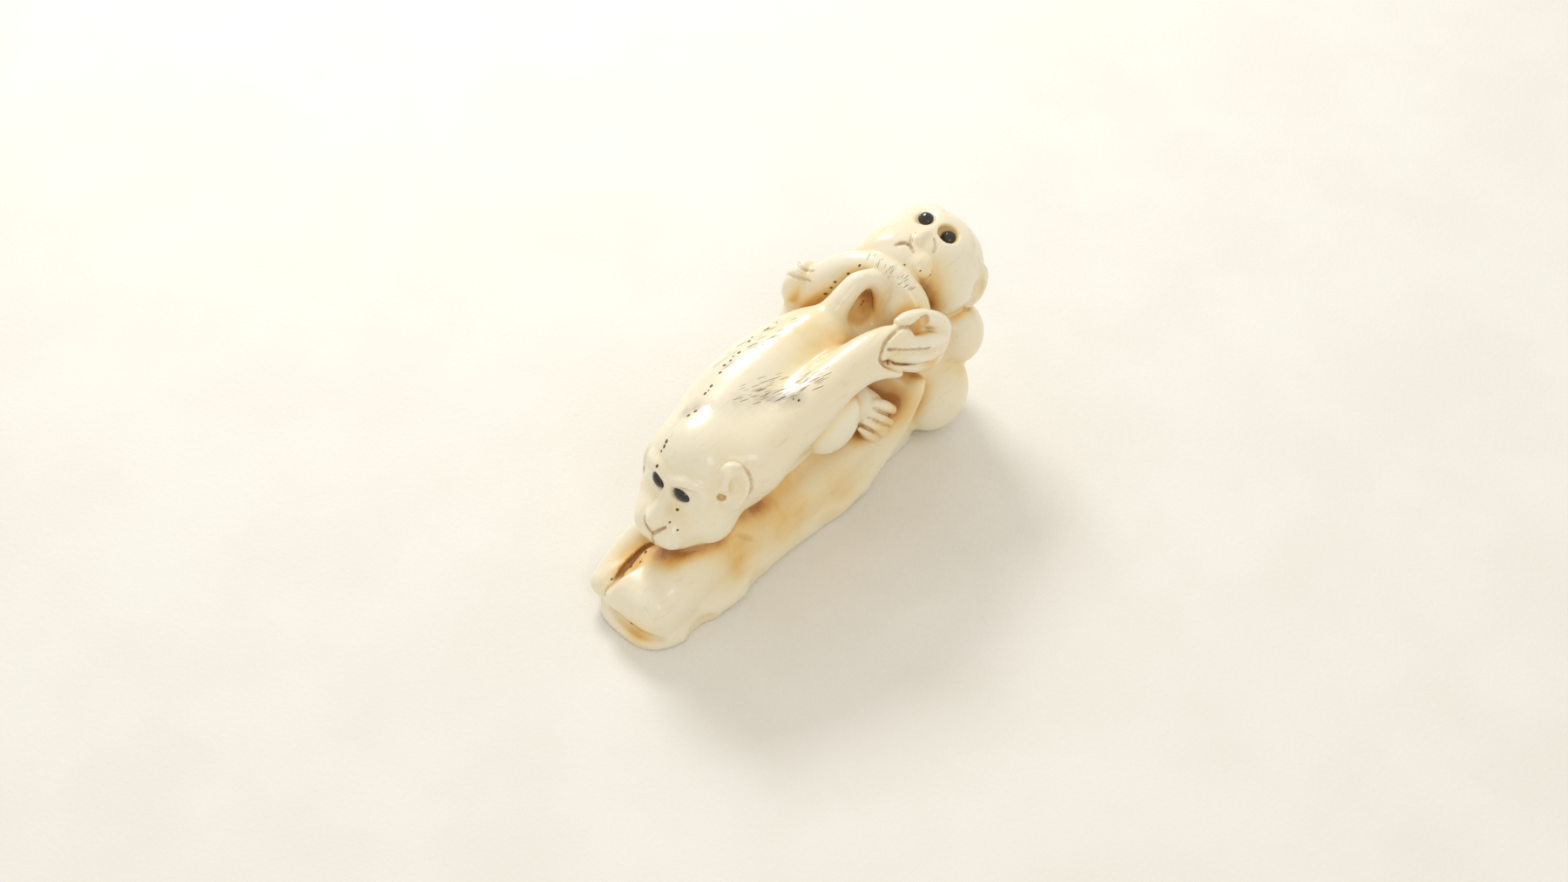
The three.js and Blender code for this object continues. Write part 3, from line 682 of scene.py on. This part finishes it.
def crowding(places, out, reach, stride=3):
    """The share of bone in the wider neighbourhood, just above each place."""
    solid = (bone.field[::stride, ::stride, ::stride] < 0).astype(np.float32)
    step = bone.step * stride
    taps = np.arange(-int(2 * reach / step), int(2 * reach / step) + 1)
    weights = np.exp(-0.5 * (taps * step / reach) ** 2)
    weights /= weights.sum()
    for axis in range(3):
        solid = np.apply_along_axis(lambda line: np.convolve(line, weights, "same"), axis, solid)
    return trilinear(solid, bone.low, step, places + out * reach * 0.6)


def nearness(places, path, reach):
    """1 on the path, 0 from reach away, along straight pieces."""
    best = np.full(len(places), 1e9)
    for a, b in zip(path[:-1], path[1:]):
        along = b - a
        t = np.clip((places - a) @ along / max(along @ along, 1e-9), 0, 1)
        best = np.minimum(best, np.linalg.norm(places - a - t[:, None] * along, axis=1))
    return np.clip(1 - best / reach, 0, 1)


def smoothstep(value, low, high):
    t = np.clip((value - low) / (high - low), 0, 1)
    return t * t * (3 - 2 * t)


def vertex_places(piece):
    flat = np.zeros(len(piece.data.vertices) * 3)
    piece.data.vertices.foreach_get("co", flat)
    return flat.reshape(-1, 3) / MM - ORIGIN


places = vertex_places(carving)
out = bone.slope(places)
out /= np.maximum(np.linalg.norm(out, axis=1, keepdims=True), 1e-6)
crowd = crowding(places, out, 2.0)
hollow = 0.35 * shelter(places, out, 1.2) + 0.35 * shelter(places, out, 2.2)
# the wide crowding term is painted shade, darkening under chins and bellies where shade falls
hollow = hollow + 0.55 * smoothstep(crowd, 0.25, 0.6)
print("hollow: mean", hollow.mean().round(3), "median crowding:", np.median(crowd).round(2))

# %% [markdown]
# ## Stain that handling left, and painted shade
#
# Hollows alone would darken every crease evenly. On an old piece the stain also pools in places: under the
# chin, down the leaf's flank, in the loop of the tail. Each is written as a soft ball of darkening with its
# own strength; under the chins and down the leaf's flank beside the body it is partly painted shade. The
# scribed lines get ink, and a smudge lies across the nape where a pouch cord rubbed.

# %% Write the stain and painted shade on the vertices
# Patches of real stain, and of painted shade under the chins and down the leaf's flank beside the body.
STAIN_AND_SHADE_PATCHES = [
    ("under the chin", (0.5, -17.8, 7.4), 3.6, 0.40),
    ("leaf flank under the head", (4.6, -12.5, 6.3), 5.2, 0.60),
    ("leaf flank under the knee", (5, -5.5, 5.6), 5.4, 0.50),
    ("leaf flank by the foot", (5.6, 2, 4.5), 5, 0.35),
    ("lobe split", (-2.6, -20.5, 5.2), 3, 0.60),
    ("lobe toe", (2, -24.8, 1.6), 2.6, 0.40),
    ("foot", (6.1, 7.2, 9.3), 3.2, 0.50),
    ("leaf wall", (6.4, 11, 9.5), 4.6, 0.50),
    ("hip", (7.9, 13.1, 14.4), 3.2, 0.55),
    ("far hip", (-7.9, 13.1, 12.4), 3.2, 0.45),
    ("under the sitting monkey's chin", (3.4, 17.2, 20), 3.6, 0.60),
    ("loop of the tail", (0.6, 11, 19.8), 2.6, 0.70),
    ("ring of the hand", (6.7, 11.9, 20.2), 1.5, 0.50),
    ("grasped wrist", (7, 7.6, 20), 2.4, 0.25),
    ("small of the back", (-0.5, 3.2, 21.5), 6, 0.26),
    ("sitting monkey's side", (5.6, 21, 8), 6, 0.24),
    ("crown", (-1, 20, 23.5), 6, 0.08),
]
SMUDGE = np.array([(-2.6, -11.6, 20.2), (-0.6, -9.6, 20.4), (1.2, -8, 20.5), (2.8, -6, 20.7),
                   (4.3, -4, 20.8)])


def write_attribute(piece, name, values):
    layer = piece.data.attributes.new(name, "FLOAT", "POINT")
    layer.data.foreach_set("value", np.clip(values, 0, 1).astype(np.float32))
    print(f"  {name}: mean {values.mean():.3f}, largest {values.max():.2f}")


# This attribute holds real stain and painted shade: the wide hollow term and the patches under chins and
# beside the body.
stain = 0.75 * hollow
for where, middle, reach, strength in STAIN_AND_SHADE_PATCHES:
    far = np.linalg.norm(places - np.array(middle), axis=1) / reach
    stain = stain + strength * np.exp(-2.2 * far * far)
ink = np.zeros(len(places))
for path, width, strength in scribed:
    ink = np.maximum(ink, strength * nearness(places, path, width * 0.9))
write_attribute(carving, "crease", shelter(places, out, 0.5))
write_attribute(carving, "stain", stain)
write_attribute(carving, "ink", ink)
write_attribute(carving, "smudge", nearness(places, SMUDGE, 1.7))

# %% [markdown]
# ## Finishes that share one wear group
#
# Hands leave the same marks on bone and on horn: cloudy patches of grease and hair-fine scratches. That
# effect is one node group with its own inputs, and each material places it with its own scale and strength.
# A group hands out masks and values only, and the shader itself stays in the material.

# %% The wear group
def node_of(tree, kind, **settings):
    made = tree.nodes.new(kind)
    for name, value in settings.items():
        setattr(made, name, value)
    return made


def feed(tree, socket, value):
    """Links an output, or sets a constant."""
    if isinstance(value, bpy.types.NodeSocket):
        tree.links.new(value, socket)
    else:
        socket.default_value = value


def maths(tree, operation, *values, clamp=False):
    node = node_of(tree, "ShaderNodeMath", operation=operation, use_clamp=clamp)
    for socket, value in zip(node.inputs, values):
        feed(tree, socket, value)
    return node.outputs["Value"]


def noise(tree, place, scale, detail=3.0, rough=0.5):
    node = node_of(tree, "ShaderNodeTexNoise")
    for name, value in (("Vector", place), ("Scale", scale), ("Detail", detail), ("Roughness", rough)):
        feed(tree, node.inputs[name], value)
    return node.outputs["Fac"]


def stretched(tree, place, scale):
    node = node_of(tree, "ShaderNodeMapping")
    feed(tree, node.inputs["Vector"], place)
    node.inputs["Scale"].default_value = scale
    return node.outputs["Vector"]


def remap(tree, value, low, high, low_out=0.0, high_out=1.0):
    node = node_of(tree, "ShaderNodeMapRange", interpolation_type="SMOOTHSTEP")
    for name, part in (("Value", value), ("From Min", low), ("From Max", high), ("To Min", low_out),
                       ("To Max", high_out)):
        feed(tree, node.inputs[name], part)
    return node.outputs["Result"]


def blend_colour(tree, amount, under, over):
    node = node_of(tree, "ShaderNodeMix", data_type="RGBA")
    feed(tree, node.inputs["Factor"], amount)
    feed(tree, node.inputs[6], under)
    feed(tree, node.inputs[7], over)
    return node.outputs[2]


def wear_group():
    group = bpy.data.node_groups.new("handling_wear", "ShaderNodeTree")
    sockets = group.interface
    sockets.new_socket("Place", in_out="INPUT", socket_type="NodeSocketVector")
    for name, value in (("Cloud Scale", 300.0), ("Scratch Scale", 2000.0), ("Roughness", 0.25),
                        ("Spread", 0.1)):
        sockets.new_socket(name, in_out="INPUT", socket_type="NodeSocketFloat").default_value = value
    for name in ("Cloud", "Scratch", "Roughness"):
        sockets.new_socket(name, in_out="OUTPUT", socket_type="NodeSocketFloat")
    given, result = node_of(group, "NodeGroupInput"), node_of(group, "NodeGroupOutput")
    cloud = noise(group, given.outputs["Place"], given.outputs["Cloud Scale"], 4.0, 0.55)
    lengthwise = stretched(group, given.outputs["Place"], (1.0, 0.12, 1.0))
    scratch = noise(group, lengthwise, given.outputs["Scratch Scale"], 2.0, 0.7)
    shift = maths(group, "SUBTRACT", maths(group, "ADD", cloud, maths(group, "MULTIPLY", scratch, 0.5)), 0.75)
    rough = maths(group, "ADD", given.outputs["Roughness"], maths(group, "MULTIPLY", shift,
            given.outputs["Spread"]))
    for name, value in (("Cloud", cloud), ("Scratch", scratch), ("Roughness", rough)):
        feed(group, result.inputs[name], value)
    return group


WEAR = wear_group()


def new_material(name):
    made = bpy.data.materials.new(name)
    made.use_nodes = True
    return made, made.node_tree, made.node_tree.nodes["Principled BSDF"]


def add_wear(tree, **values):
    node = node_of(tree, "ShaderNodeGroup", node_tree=WEAR)
    place = node_of(tree, "ShaderNodeTexCoord").outputs["Object"]
    feed(tree, node.inputs["Place"], place)
    for name, value in values.items():
        node.inputs[name.replace("_", " ")].default_value = value
    return place, node.outputs["Cloud"], node.outputs["Scratch"], node.outputs["Roughness"]


def add_bump(tree, shader, height, distance, strength):
    node = node_of(tree, "ShaderNodeBump")
    feed(tree, node.inputs["Height"], height)
    node.inputs["Distance"].default_value = distance
    node.inputs["Strength"].default_value = strength
    feed(tree, shader.inputs["Normal"], node.outputs["Normal"])


print("wear group ready")

# %% [markdown]
# ## Polished bone
#
# Bone lets a little light in, so it has a soft glow, and its polish is a thin sharp gloss. The colour runs
# from cream through honey to deep brown as the stain-and-shade attribute rises, which holds both real stain
# and painted shade. Noise breaks the edge of that darkening, since stain soaks in unevenly, and lengthwise
# noise gives the faint grain that bone has and ivory hasn't.

# %% Mix the bone
# Cream to deep brown: real stain, and painted shade in the hollows, under the chins and beside the body.
STAIN_AND_SHADE_RAMP = [(0.0, (0.87, 0.81, 0.65)), (0.28, (0.86, 0.73, 0.46)), (0.58, (0.82, 0.56, 0.21)),
                (0.85, (0.66, 0.35, 0.085)), (1.0, (0.46, 0.19, 0.03))]
GRAIN_TAN, GREASE_GREY = (0.62, 0.50, 0.30, 1), (0.36, 0.30, 0.22, 1)
CREASE_BROWN, INK_BROWN = (0.38, 0.17, 0.04, 1), (0.26, 0.10, 0.025, 1)


def bone_material():
    made, tree, shader = new_material("polished_bone")
    shader.inputs["Subsurface Weight"].default_value = 0.22
    shader.inputs["Subsurface Radius"].default_value = (1.0, 0.6, 0.3)
    shader.inputs["Subsurface Scale"].default_value = 0.0008
    shader.inputs["Coat Weight"].default_value = 0.35
    shader.inputs["Coat Roughness"].default_value = 0.12
    place, cloud, scratch, rough = add_wear(tree, Cloud_Scale=260.0, Scratch_Scale=2600.0, Roughness=0.3,
            Spread=0.25)

    def painted(name):
        return node_of(tree, "ShaderNodeAttribute", attribute_name=name).outputs["Fac"]

    # Darkening from real stain and painted shade, broken by cloud noise.
    stain_and_shade_level = maths(tree, "MULTIPLY", painted("stain"), remap(tree, cloud, 0.3, 0.7, 0.8, 1.2))
    shades = node_of(tree, "ShaderNodeValToRGB")
    while len(shades.color_ramp.elements) < len(STAIN_AND_SHADE_RAMP):
        shades.color_ramp.elements.new(0.5)
    for element, (at, colour) in zip(shades.color_ramp.elements, STAIN_AND_SHADE_RAMP):
        element.position, element.color = at, (*colour, 1)
    feed(tree, shades.inputs["Fac"], stain_and_shade_level)
    grain = noise(tree, stretched(tree, place, (1.0, 0.18, 1.0)), 1500.0, 3.0, 0.6)
    grained = blend_colour(tree, remap(tree, grain, 0.55, 0.8, 0.0, 0.3), shades.outputs["Color"], GRAIN_TAN)
    rubbed = maths(tree, "MULTIPLY", painted("smudge"), remap(tree, cloud, 0.38, 0.6, 0.1, 0.8))
    smudged = blend_colour(tree, rubbed, grained, GREASE_GREY)
    lined = blend_colour(tree, remap(tree, painted("crease"), 0.3, 0.9, 0.0, 0.7), smudged, CREASE_BROWN)
    inked = blend_colour(tree, remap(tree, painted("ink"), 0.05, 0.8, 0.0, 0.85), lined, INK_BROWN)
    feed(tree, shader.inputs["Base Color"], inked)
    feed(tree, shader.inputs["Roughness"], maths(tree, "ADD", rough,
            maths(tree, "MULTIPLY", painted("stain"), 0.12)))
    polish_marks = maths(tree, "ADD", maths(tree, "MULTIPLY", scratch, 0.4), grain)
    add_bump(tree, shader, polish_marks, 0.00006, 0.35)
    return made


carving.data.materials.clear()
carving.data.materials.append(bone_material())
print("bone mixed")

# %% [markdown]
# ## Black horn and settled dirt
#
# The eyes are beads of black horn, which is glassy but never quite even. Dirt is dull and matt, and sits in
# pores.

# %% Mix the horn and the dirt
def horn_material():
    made, tree, shader = new_material("black_horn")
    shader.inputs["Coat Weight"].default_value = 0.6
    shader.inputs["Coat Roughness"].default_value = 0.05
    place, cloud, scratch, rough = add_wear(tree, Cloud_Scale=900.0, Scratch_Scale=5000.0, Roughness=0.16,
            Spread=0.2)
    feed(tree, shader.inputs["Base Color"], blend_colour(tree, cloud, (0.002, 0.002, 0.002, 1),
            (0.014, 0.009, 0.006, 1)))
    feed(tree, shader.inputs["Roughness"], rough)
    add_bump(tree, shader, scratch, 0.00003, 0.2)
    return made


def dirt_material():
    made, tree, shader = new_material("settled_dirt")
    place, cloud, scratch, rough = add_wear(tree, Cloud_Scale=1500.0, Scratch_Scale=4000.0, Roughness=0.6,
            Spread=0.3)
    feed(tree, shader.inputs["Base Color"], blend_colour(tree, cloud, (0.24, 0.12, 0.04, 1),
            (0.08, 0.04, 0.016, 1)))
    feed(tree, shader.inputs["Roughness"], rough)
    add_bump(tree, shader, cloud, 0.00005, 0.5)
    return made


black_horn = horn_material()
settled_dirt = dirt_material()
print("horn and dirt mixed")

# %% [markdown]
# ## Small things that repeat, with Geometry Nodes
#
# Four beads, a few dozen pores and a few hundred engraved hairs each repeat one small shape. Geometry Nodes
# place them: points go in, each point gets one instance, and the tree ends by making the instances real and
# giving them their material. The helpers below build a tree's frame, set a modifier's named inputs and keep
# the result.

# %% Geometry Nodes helpers
def new_tree(name, inputs):
    """A tree with a Geometry input and output, and the named inputs of (name, kind, value)."""
    tree = bpy.data.node_groups.new(name, "GeometryNodeTree")
    tree.interface.new_socket("Geometry", in_out="INPUT", socket_type="NodeSocketGeometry")
    for label, kind, value in inputs:
        socket = tree.interface.new_socket(label, in_out="INPUT", socket_type="NodeSocket" + kind)
        if value is not None:
            socket.default_value = value
    tree.interface.new_socket("Geometry", in_out="OUTPUT", socket_type="NodeSocketGeometry")
    return tree, node_of(tree, "NodeGroupInput").outputs, node_of(tree, "NodeGroupOutput").inputs["Geometry"]


def step(tree, kind, inputs=(), settings=(), output=0):
    """Adds a node, feeds its inputs by name or number, and returns one output."""
    node = node_of(tree, kind, **dict(settings))
    for key, value in dict(inputs).items():
        feed(tree, node.inputs[key], value)
    return node.outputs[output]


def point_vector(tree, name):
    settings = {"data_type": "FLOAT_VECTOR"}
    return step(tree, "GeometryNodeInputNamedAttribute", {"Name": name}, settings, "Attribute")


def grow(piece, tree, values):
    """Runs the tree on the piece with these named inputs, and keeps the result as its mesh."""
    modifier = piece.modifiers.new("grow", "NODES")
    modifier.node_group = tree
    for item in tree.interface.items_tree:
        if item.item_type == "SOCKET" and item.in_out == "INPUT" and item.name in values:
            modifier[item.identifier] = values[item.name]
    bake_modifiers(piece, piece.name)
    print(piece.name + ":", len(piece.data.vertices), "vertices,", len(piece.data.polygons), "faces")
    return piece


def seeds_mesh(name, points, edges=(), vectors=None):
    """Points in metres that carry attributes for a tree to read."""
    mesh = bpy.data.meshes.new(name)
    mesh.from_pydata(((np.asarray(points) + ORIGIN) * MM).tolist(), list(edges), [])
    for label, rows in (vectors or {}).items():
        layer = mesh.attributes.new(label, "FLOAT_VECTOR", "POINT")
        layer.data.foreach_set("vector", np.asarray(rows, np.float32).ravel())
    made = bpy.data.objects.new(name, mesh)
    bpy.context.scene.collection.objects.link(made)
    return made


print("geometry helpers ready")

# %% [markdown]
# ## Eye beads
#
# Each eye is a bead pressed into a cut socket. It is an oval dome with a flattened back, tilted to the
# face. The dome starts as a ball whose back half the tree presses flat, so the front bulges evenly and
# catches one sharp light. The lying monkey's beads are slanted ovals, the sitting monkey's are rounder.

# %% Set the eye beads
def bead_tree():
    inputs = [("Bulge", "Float", 0.8), ("Back", "Float", 0.3), ("Finish", "Material", None)]
    tree, given, result = new_tree("bead", inputs)
    ball = step(tree, "GeometryNodeMeshUVSphere", {"Segments": 40, "Rings": 24, "Radius": 1.0}, output="Mesh")
    xyz = node_of(tree, "ShaderNodeSeparateXYZ")
    feed(tree, xyz.inputs["Vector"], step(tree, "GeometryNodeInputPosition"))
    height = xyz.outputs["Z"]
    raised = maths(tree, "MULTIPLY", maths(tree, "MAXIMUM", height, 0.0), given["Bulge"])
    sunk = maths(tree, "MULTIPLY", maths(tree, "MINIMUM", height, 0.0), given["Back"])
    moved = node_of(tree, "ShaderNodeCombineXYZ")
    for axis, value in (("X", xyz.outputs["X"]), ("Y", xyz.outputs["Y"]),
                        ("Z", maths(tree, "ADD", raised, sunk))):
        feed(tree, moved.inputs[axis], value)
    bead = step(tree, "GeometryNodeSetPosition", {"Geometry": ball, "Position": moved.outputs["Vector"]})
    outward, lengthwise, size = [point_vector(tree, name) for name in ("facing", "lengthwise", "size")]
    facing = step(tree, "FunctionNodeAlignRotationToVector", {"Vector": outward}, {"axis": "Z"})
    turned = step(tree, "FunctionNodeAlignRotationToVector", {"Rotation": facing, "Vector": lengthwise},
                  {"axis": "X", "pivot_axis": "Z"})
    placed = step(tree, "GeometryNodeInstanceOnPoints",
                  {"Points": given["Geometry"], "Instance": bead, "Rotation": turned, "Scale": size})
    real = step(tree, "GeometryNodeRealizeInstances", {"Geometry": placed})
    smooth = step(tree, "GeometryNodeSetShadeSmooth", {"Geometry": real})
    feed(tree, result, step(tree, "GeometryNodeSetMaterial", {"Geometry": smooth,
            "Material": given["Finish"]}))
    return tree


FACING = {
    "front_monkey_left_eye": ((0.30, -0.90, 0.32), (1, 0.3, -0.32), (1.0, 0.74, 1.0)),
    "front_monkey_right_eye": ((-0.30, -0.90, 0.32), (1, -0.3, -0.32), (1.0, 0.74, 1.0)),
    "rear_monkey_left_eye": ((0.25, -0.35, 0.90), (1, 0.2, -0.3), (0.88, 0.84, 0.95)),
    "rear_monkey_right_eye": ((-0.15, -0.35, 0.92), (1, 0.2, -0.3), (0.88, 0.84, 0.95)),
}
rows = list(FACING.values())
bead_seeds = seeds_mesh("eye_beads", [EYES[name] for name in FACING],
                        vectors={"facing": [row[0] for row in rows], "lengthwise": [row[1] for row in rows],
                                 "size": np.array([row[2] for row in rows]) * MM})
eye_beads = grow(bead_seeds, bead_tree(), {"Bulge": 0.72, "Back": 0.35, "Finish": black_horn})

# %% [markdown]
# ## Pores and specks
#
# Bone is full of fine canals. Where the carver cut across them they open as pores, and dirt makes them dark
# specks that follow the grain in rows. The tree walks each row, drops a speck at uneven steps, and presses
# it onto the nearest bone.

# %% Scatter the pores
PORE_ROWS = [
    [(-1.5, -17.6, 17.6), (-2.2, -15.6, 18.8), (-1.9, -14.6, 19.6), (-1.6, -13.6, 20.1), (-2.1, -11.2, 20.1),
     (-2.8, -8.8, 20.2), (-3.6, -5.2, 20.6), (-3.7, -2.8, 21), (-3.8, -1.4, 21.1), (-3.4, 2.6, 20.6)],
    [(-3.8, 10.2, 19.7), (-3.1, 11, 21.8), (-1.6, 12.6, 23)],
    [(1, 16, 22.4), (2.7, 16.6, 23), (3.4, 17.6, 21.6)],
    [(-0.7, 11, 18.6), (-0.5, 11.2, 19.6), (0.1, 11.2, 20.6)],
    [(4.7, -4.6, 21), (5.2, -4.1, 21)],
    [(-2, -19, 6), (-2.6, -21, 5.4), (-3.2, -23.6, 4)],
    [(1, -24.9, 2), (3, -24.7, 1.7), (4.6, -23.6, 1.5)],
    [(2.2, -18.6, 12), (1.9, -18.9, 13), (1.4, -18.6, 13.8)],
]


FLATNESS = 0.25


def scatter_tree():
    inputs = [("Bone", "Object", None), ("Spacing", "Float", 0.0005), ("Stray", "Float", 0.0002),
              ("Width", "Float", 0.0002), ("Long", "Float", 1.0), ("Lie", "Vector", (0, 1, 0)),
              ("Kept", "Float", 0.6), ("Seed", "Int", 7), ("Finish", "Material", None)]
    tree, given, result = new_tree("scatter", inputs)
    curve = step(tree, "GeometryNodeMeshToCurve", {"Mesh": given["Geometry"]})
    walked = step(tree, "GeometryNodeResampleCurve", {"Curve": curve, "Length": given["Spacing"]},
                  {"mode": "LENGTH"})
    points = step(tree, "GeometryNodeCurveToPoints", {"Curve": walked}, {"mode": "EVALUATED"})
    wander = step(tree, "FunctionNodeRandomValue", {0: (-1, -1, -1), 1: (1, 1, 1), "Seed": given["Seed"]},
                  {"data_type": "FLOAT_VECTOR"})
    offset = node_of(tree, "ShaderNodeVectorMath", operation="SCALE")
    feed(tree, offset.inputs[0], wander)
    feed(tree, offset.inputs["Scale"], given["Stray"])
    strayed = step(tree, "GeometryNodeSetPosition", {"Geometry": points, "Offset": offset.outputs["Vector"]})
    bone_mesh = step(tree, "GeometryNodeObjectInfo", {"Object": given["Bone"]},
                     {"transform_space": "RELATIVE"}, "Geometry")
    on_bone = step(tree, "GeometryNodeProximity", {"Geometry": bone_mesh}, {"target_element": "FACES"},
                   "Position")
    pressed = step(tree, "GeometryNodeSetPosition", {"Geometry": strayed, "Position": on_bone})
    later_seed = maths(tree, "ADD", given["Seed"], 3.0)
    keep = step(tree, "FunctionNodeRandomValue", {"Probability": given["Kept"], "Seed": later_seed},
                {"data_type": "BOOLEAN"}, 3)
    kept = step(tree, "GeometryNodeSeparateGeometry", {"Geometry": pressed, "Selection": keep},
                {"domain": "POINT"})
    normal = step(tree, "GeometryNodeInputNormal")
    outward = step(tree, "GeometryNodeSampleNearestSurface", {"Mesh": bone_mesh, "Value": normal},
                   {"data_type": "FLOAT_VECTOR"})
    facing = step(tree, "FunctionNodeAlignRotationToVector", {"Vector": outward}, {"axis": "Z"})
    laid = step(tree, "FunctionNodeAlignRotationToVector", {"Rotation": facing, "Vector": given["Lie"]},
                {"axis": "X", "pivot_axis": "Z"})
    size = step(tree, "FunctionNodeRandomValue", {2: 0.4, 3: 1.0, "Seed": given["Seed"]},
                {"data_type": "FLOAT"}, 1)
    width = maths(tree, "MULTIPLY", size, given["Width"])
    length, height = [maths(tree, "MULTIPLY", width, ratio) for ratio in (given["Long"], FLATNESS)]
    scale = step(tree, "ShaderNodeCombineXYZ", {"X": length, "Y": width, "Z": height})
    speck = step(tree, "GeometryNodeMeshIcoSphere", {"Radius": 1.0, "Subdivisions": 2}, output="Mesh")
    placed = step(tree, "GeometryNodeInstanceOnPoints",
                  {"Points": kept, "Instance": speck, "Rotation": laid, "Scale": scale})
    real = step(tree, "GeometryNodeRealizeInstances", {"Geometry": placed})
    feed(tree, result, step(tree, "GeometryNodeSetMaterial", {"Geometry": real, "Material": given["Finish"]}))
    return tree


SCATTER = scatter_tree()


def scatter(name, rows, **values):
    """Marks along the rows, pressed onto the bone."""
    points, edges = [], []
    for row in rows:
        edges += [(len(points) + i, len(points) + i + 1) for i in range(len(row) - 1)]
        points += row
    return grow(seeds_mesh(name, points, edges), SCATTER, {"Bone": carving, "Finish": settled_dirt, **values})


pores = scatter("bone_pores", PORE_ROWS, Spacing=0.0007, Stray=0.0003, Width=0.00018, Long=1.4, Lie=(0, 1, 0),
                Kept=0.6, Seed=11)

# %% [markdown]
# ## Engraved hairs
#
# The carver hatched the shoulder and the grasping arm with hair-fine cuts, now mostly rubbed away. They
# repeat like the pores do, so the same tree lays them: long, narrow marks along the lie of the fur, strayed
# well off their guide lines.

# %% Engrave the hairs
SHOULDER_GUIDES = [
    [(0.4, -6.6, 21.2), (2.4, -3.6, 21.4), (4.4, -0.4, 21.8)],
    [(1.4, -7.0, 20.8), (3.4, -4.0, 21.0), (5.2, -0.8, 21.6)],
    [(-3.4, -5.0, 20.4), (-3.2, -1.0, 21.0), (-2.6, 3.0, 21.0)],
]
ARM_GUIDES = [[(-1.0, 13.4, 23.4), (1.6, 14.6, 23.2), (3.6, 14.8, 21.6)]]
hairs = scatter("engraved_hairs", SHOULDER_GUIDES, Spacing=0.00012, Stray=0.0011, Width=0.000035, Long=20.0,
                Lie=(0.45, 1.0, 0.15), Kept=0.7, Seed=23)
arm_hairs = scatter("engraved_arm_hairs", ARM_GUIDES, Spacing=0.00012, Stray=0.0007, Width=0.00003, Long=14.0,
                    Lie=(0.4, -1.0, 0.6), Kept=0.7, Seed=29)

# %% [markdown]
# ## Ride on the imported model
#
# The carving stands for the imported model's solid, and the beads for its four eyes. The pores lie on the
# carving and ride with it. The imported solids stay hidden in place, because the checks still use them.

# %% Ride and replace
for piece, nodes, finish in ((carving, ["carved_monkeys"], "bone"), (eye_beads, list(EYES), "eye"),
                             (pores, [], "bone"), (hairs, [], "bone"), (arm_hairs, [], "bone")):
    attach(piece, "root")
    if nodes:
        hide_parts(*nodes)
    print(piece.name, "rides on root as", finish)

# %% [markdown]
# ## The table it lies on
#
# A sheet of pale paper shows the shadow and throws warm light back into the belly. It is slightly mottled,
# with a fine tooth.

# %% Lay the paper
def paper_material():
    made, tree, shader = new_material("pale_paper")
    place, cloud, scratch, rough = add_wear(tree, Cloud_Scale=60.0, Scratch_Scale=900.0, Roughness=0.8,
            Spread=0.1)
    fibre = noise(tree, place, 1800.0, 4.0, 0.7)
    tone = blend_colour(tree, remap(tree, cloud, 0.35, 0.65, 0.0, 1.0), (0.83, 0.81, 0.75, 1),
                        (0.86, 0.84, 0.79, 1))
    feed(tree, shader.inputs["Base Color"], tone)
    feed(tree, shader.inputs["Roughness"], rough)
    add_bump(tree, shader, fibre, 0.0002, 0.35)
    return made


def flat_sheet(name, half):
    corners = np.array([(-half, -half, 0), (half, -half, 0), (half, half, 0), (-half, half, 0)])
    return object_from(name, corners, np.array([(0, 1, 2, 3)]))


floor = flat_sheet("floor", 1.5)
floor.data.materials.append(paper_material())
print("paper laid")

# %% [markdown]
# ## Light
#
# One broad window behind the left shoulder gives the long soft highlight down the back and the shadow in
# front. A weak second light opens the near side, and the pale room fills the rest.

# %% Hang the lights
def softbox(name, place, size, power, colour=(1, 1, 1), aim=(0, 0, 0.012)):
    lamp = bpy.data.lights.new(name, "AREA")
    lamp.shape = "RECTANGLE"
    lamp.size, lamp.size_y = size
    lamp.energy = power
    lamp.color = colour
    made = bpy.data.objects.new(name, lamp)
    made.location = place
    made.rotation_euler = (Vector(aim) - Vector(place)).to_track_quat("-Z", "Y").to_euler()
    bpy.context.scene.collection.objects.link(made)
    print(name, power, "W")


softbox("window", (-0.19, 0.11, 0.20), (0.09, 0.07), 0.42, (0.97, 0.985, 1.0))
softbox("second_window", (0.20, -0.10, 0.25), (0.08, 0.08), 0.08)
world = bpy.data.worlds.new("studio")
world.use_nodes = True
world.node_tree.nodes["Background"].inputs["Color"].default_value = (1.0, 0.96, 0.88, 1)
world.node_tree.nodes["Background"].inputs["Strength"].default_value = 0.78
bpy.context.scene.world = world
bpy.context.scene.view_settings.view_transform = "Standard"

# %% [markdown]
# ## Camera
#
# The piece is seen from above, from its front right corner. A long lens a hand's reach away keeps the far
# monkey nearly as large as the near one.

# %% Place the camera
AZIMUTH, ELEVATION, AWAY = math.radians(42), math.radians(47), 0.260
AIM = Vector((np.array((-0.07, -0.59, 8.63)) + ORIGIN) * MM)
lens = bpy.data.cameras.new("camera")
lens.sensor_width, lens.lens = 36, 58.24
lens.clip_start, lens.clip_end = 0.01, 10
camera = bpy.data.objects.new("camera", lens)
level = math.cos(ELEVATION)
toward = Vector((math.sin(AZIMUTH) * level, -math.cos(AZIMUTH) * level, math.sin(ELEVATION)))
camera.location = AIM + toward * AWAY
camera.rotation_euler = (-toward).to_track_quat("-Z", "Y").to_euler()
bpy.context.scene.collection.objects.link(camera)
bpy.context.scene.camera = camera
print("camera at", [round(part, 4) for part in camera.location])
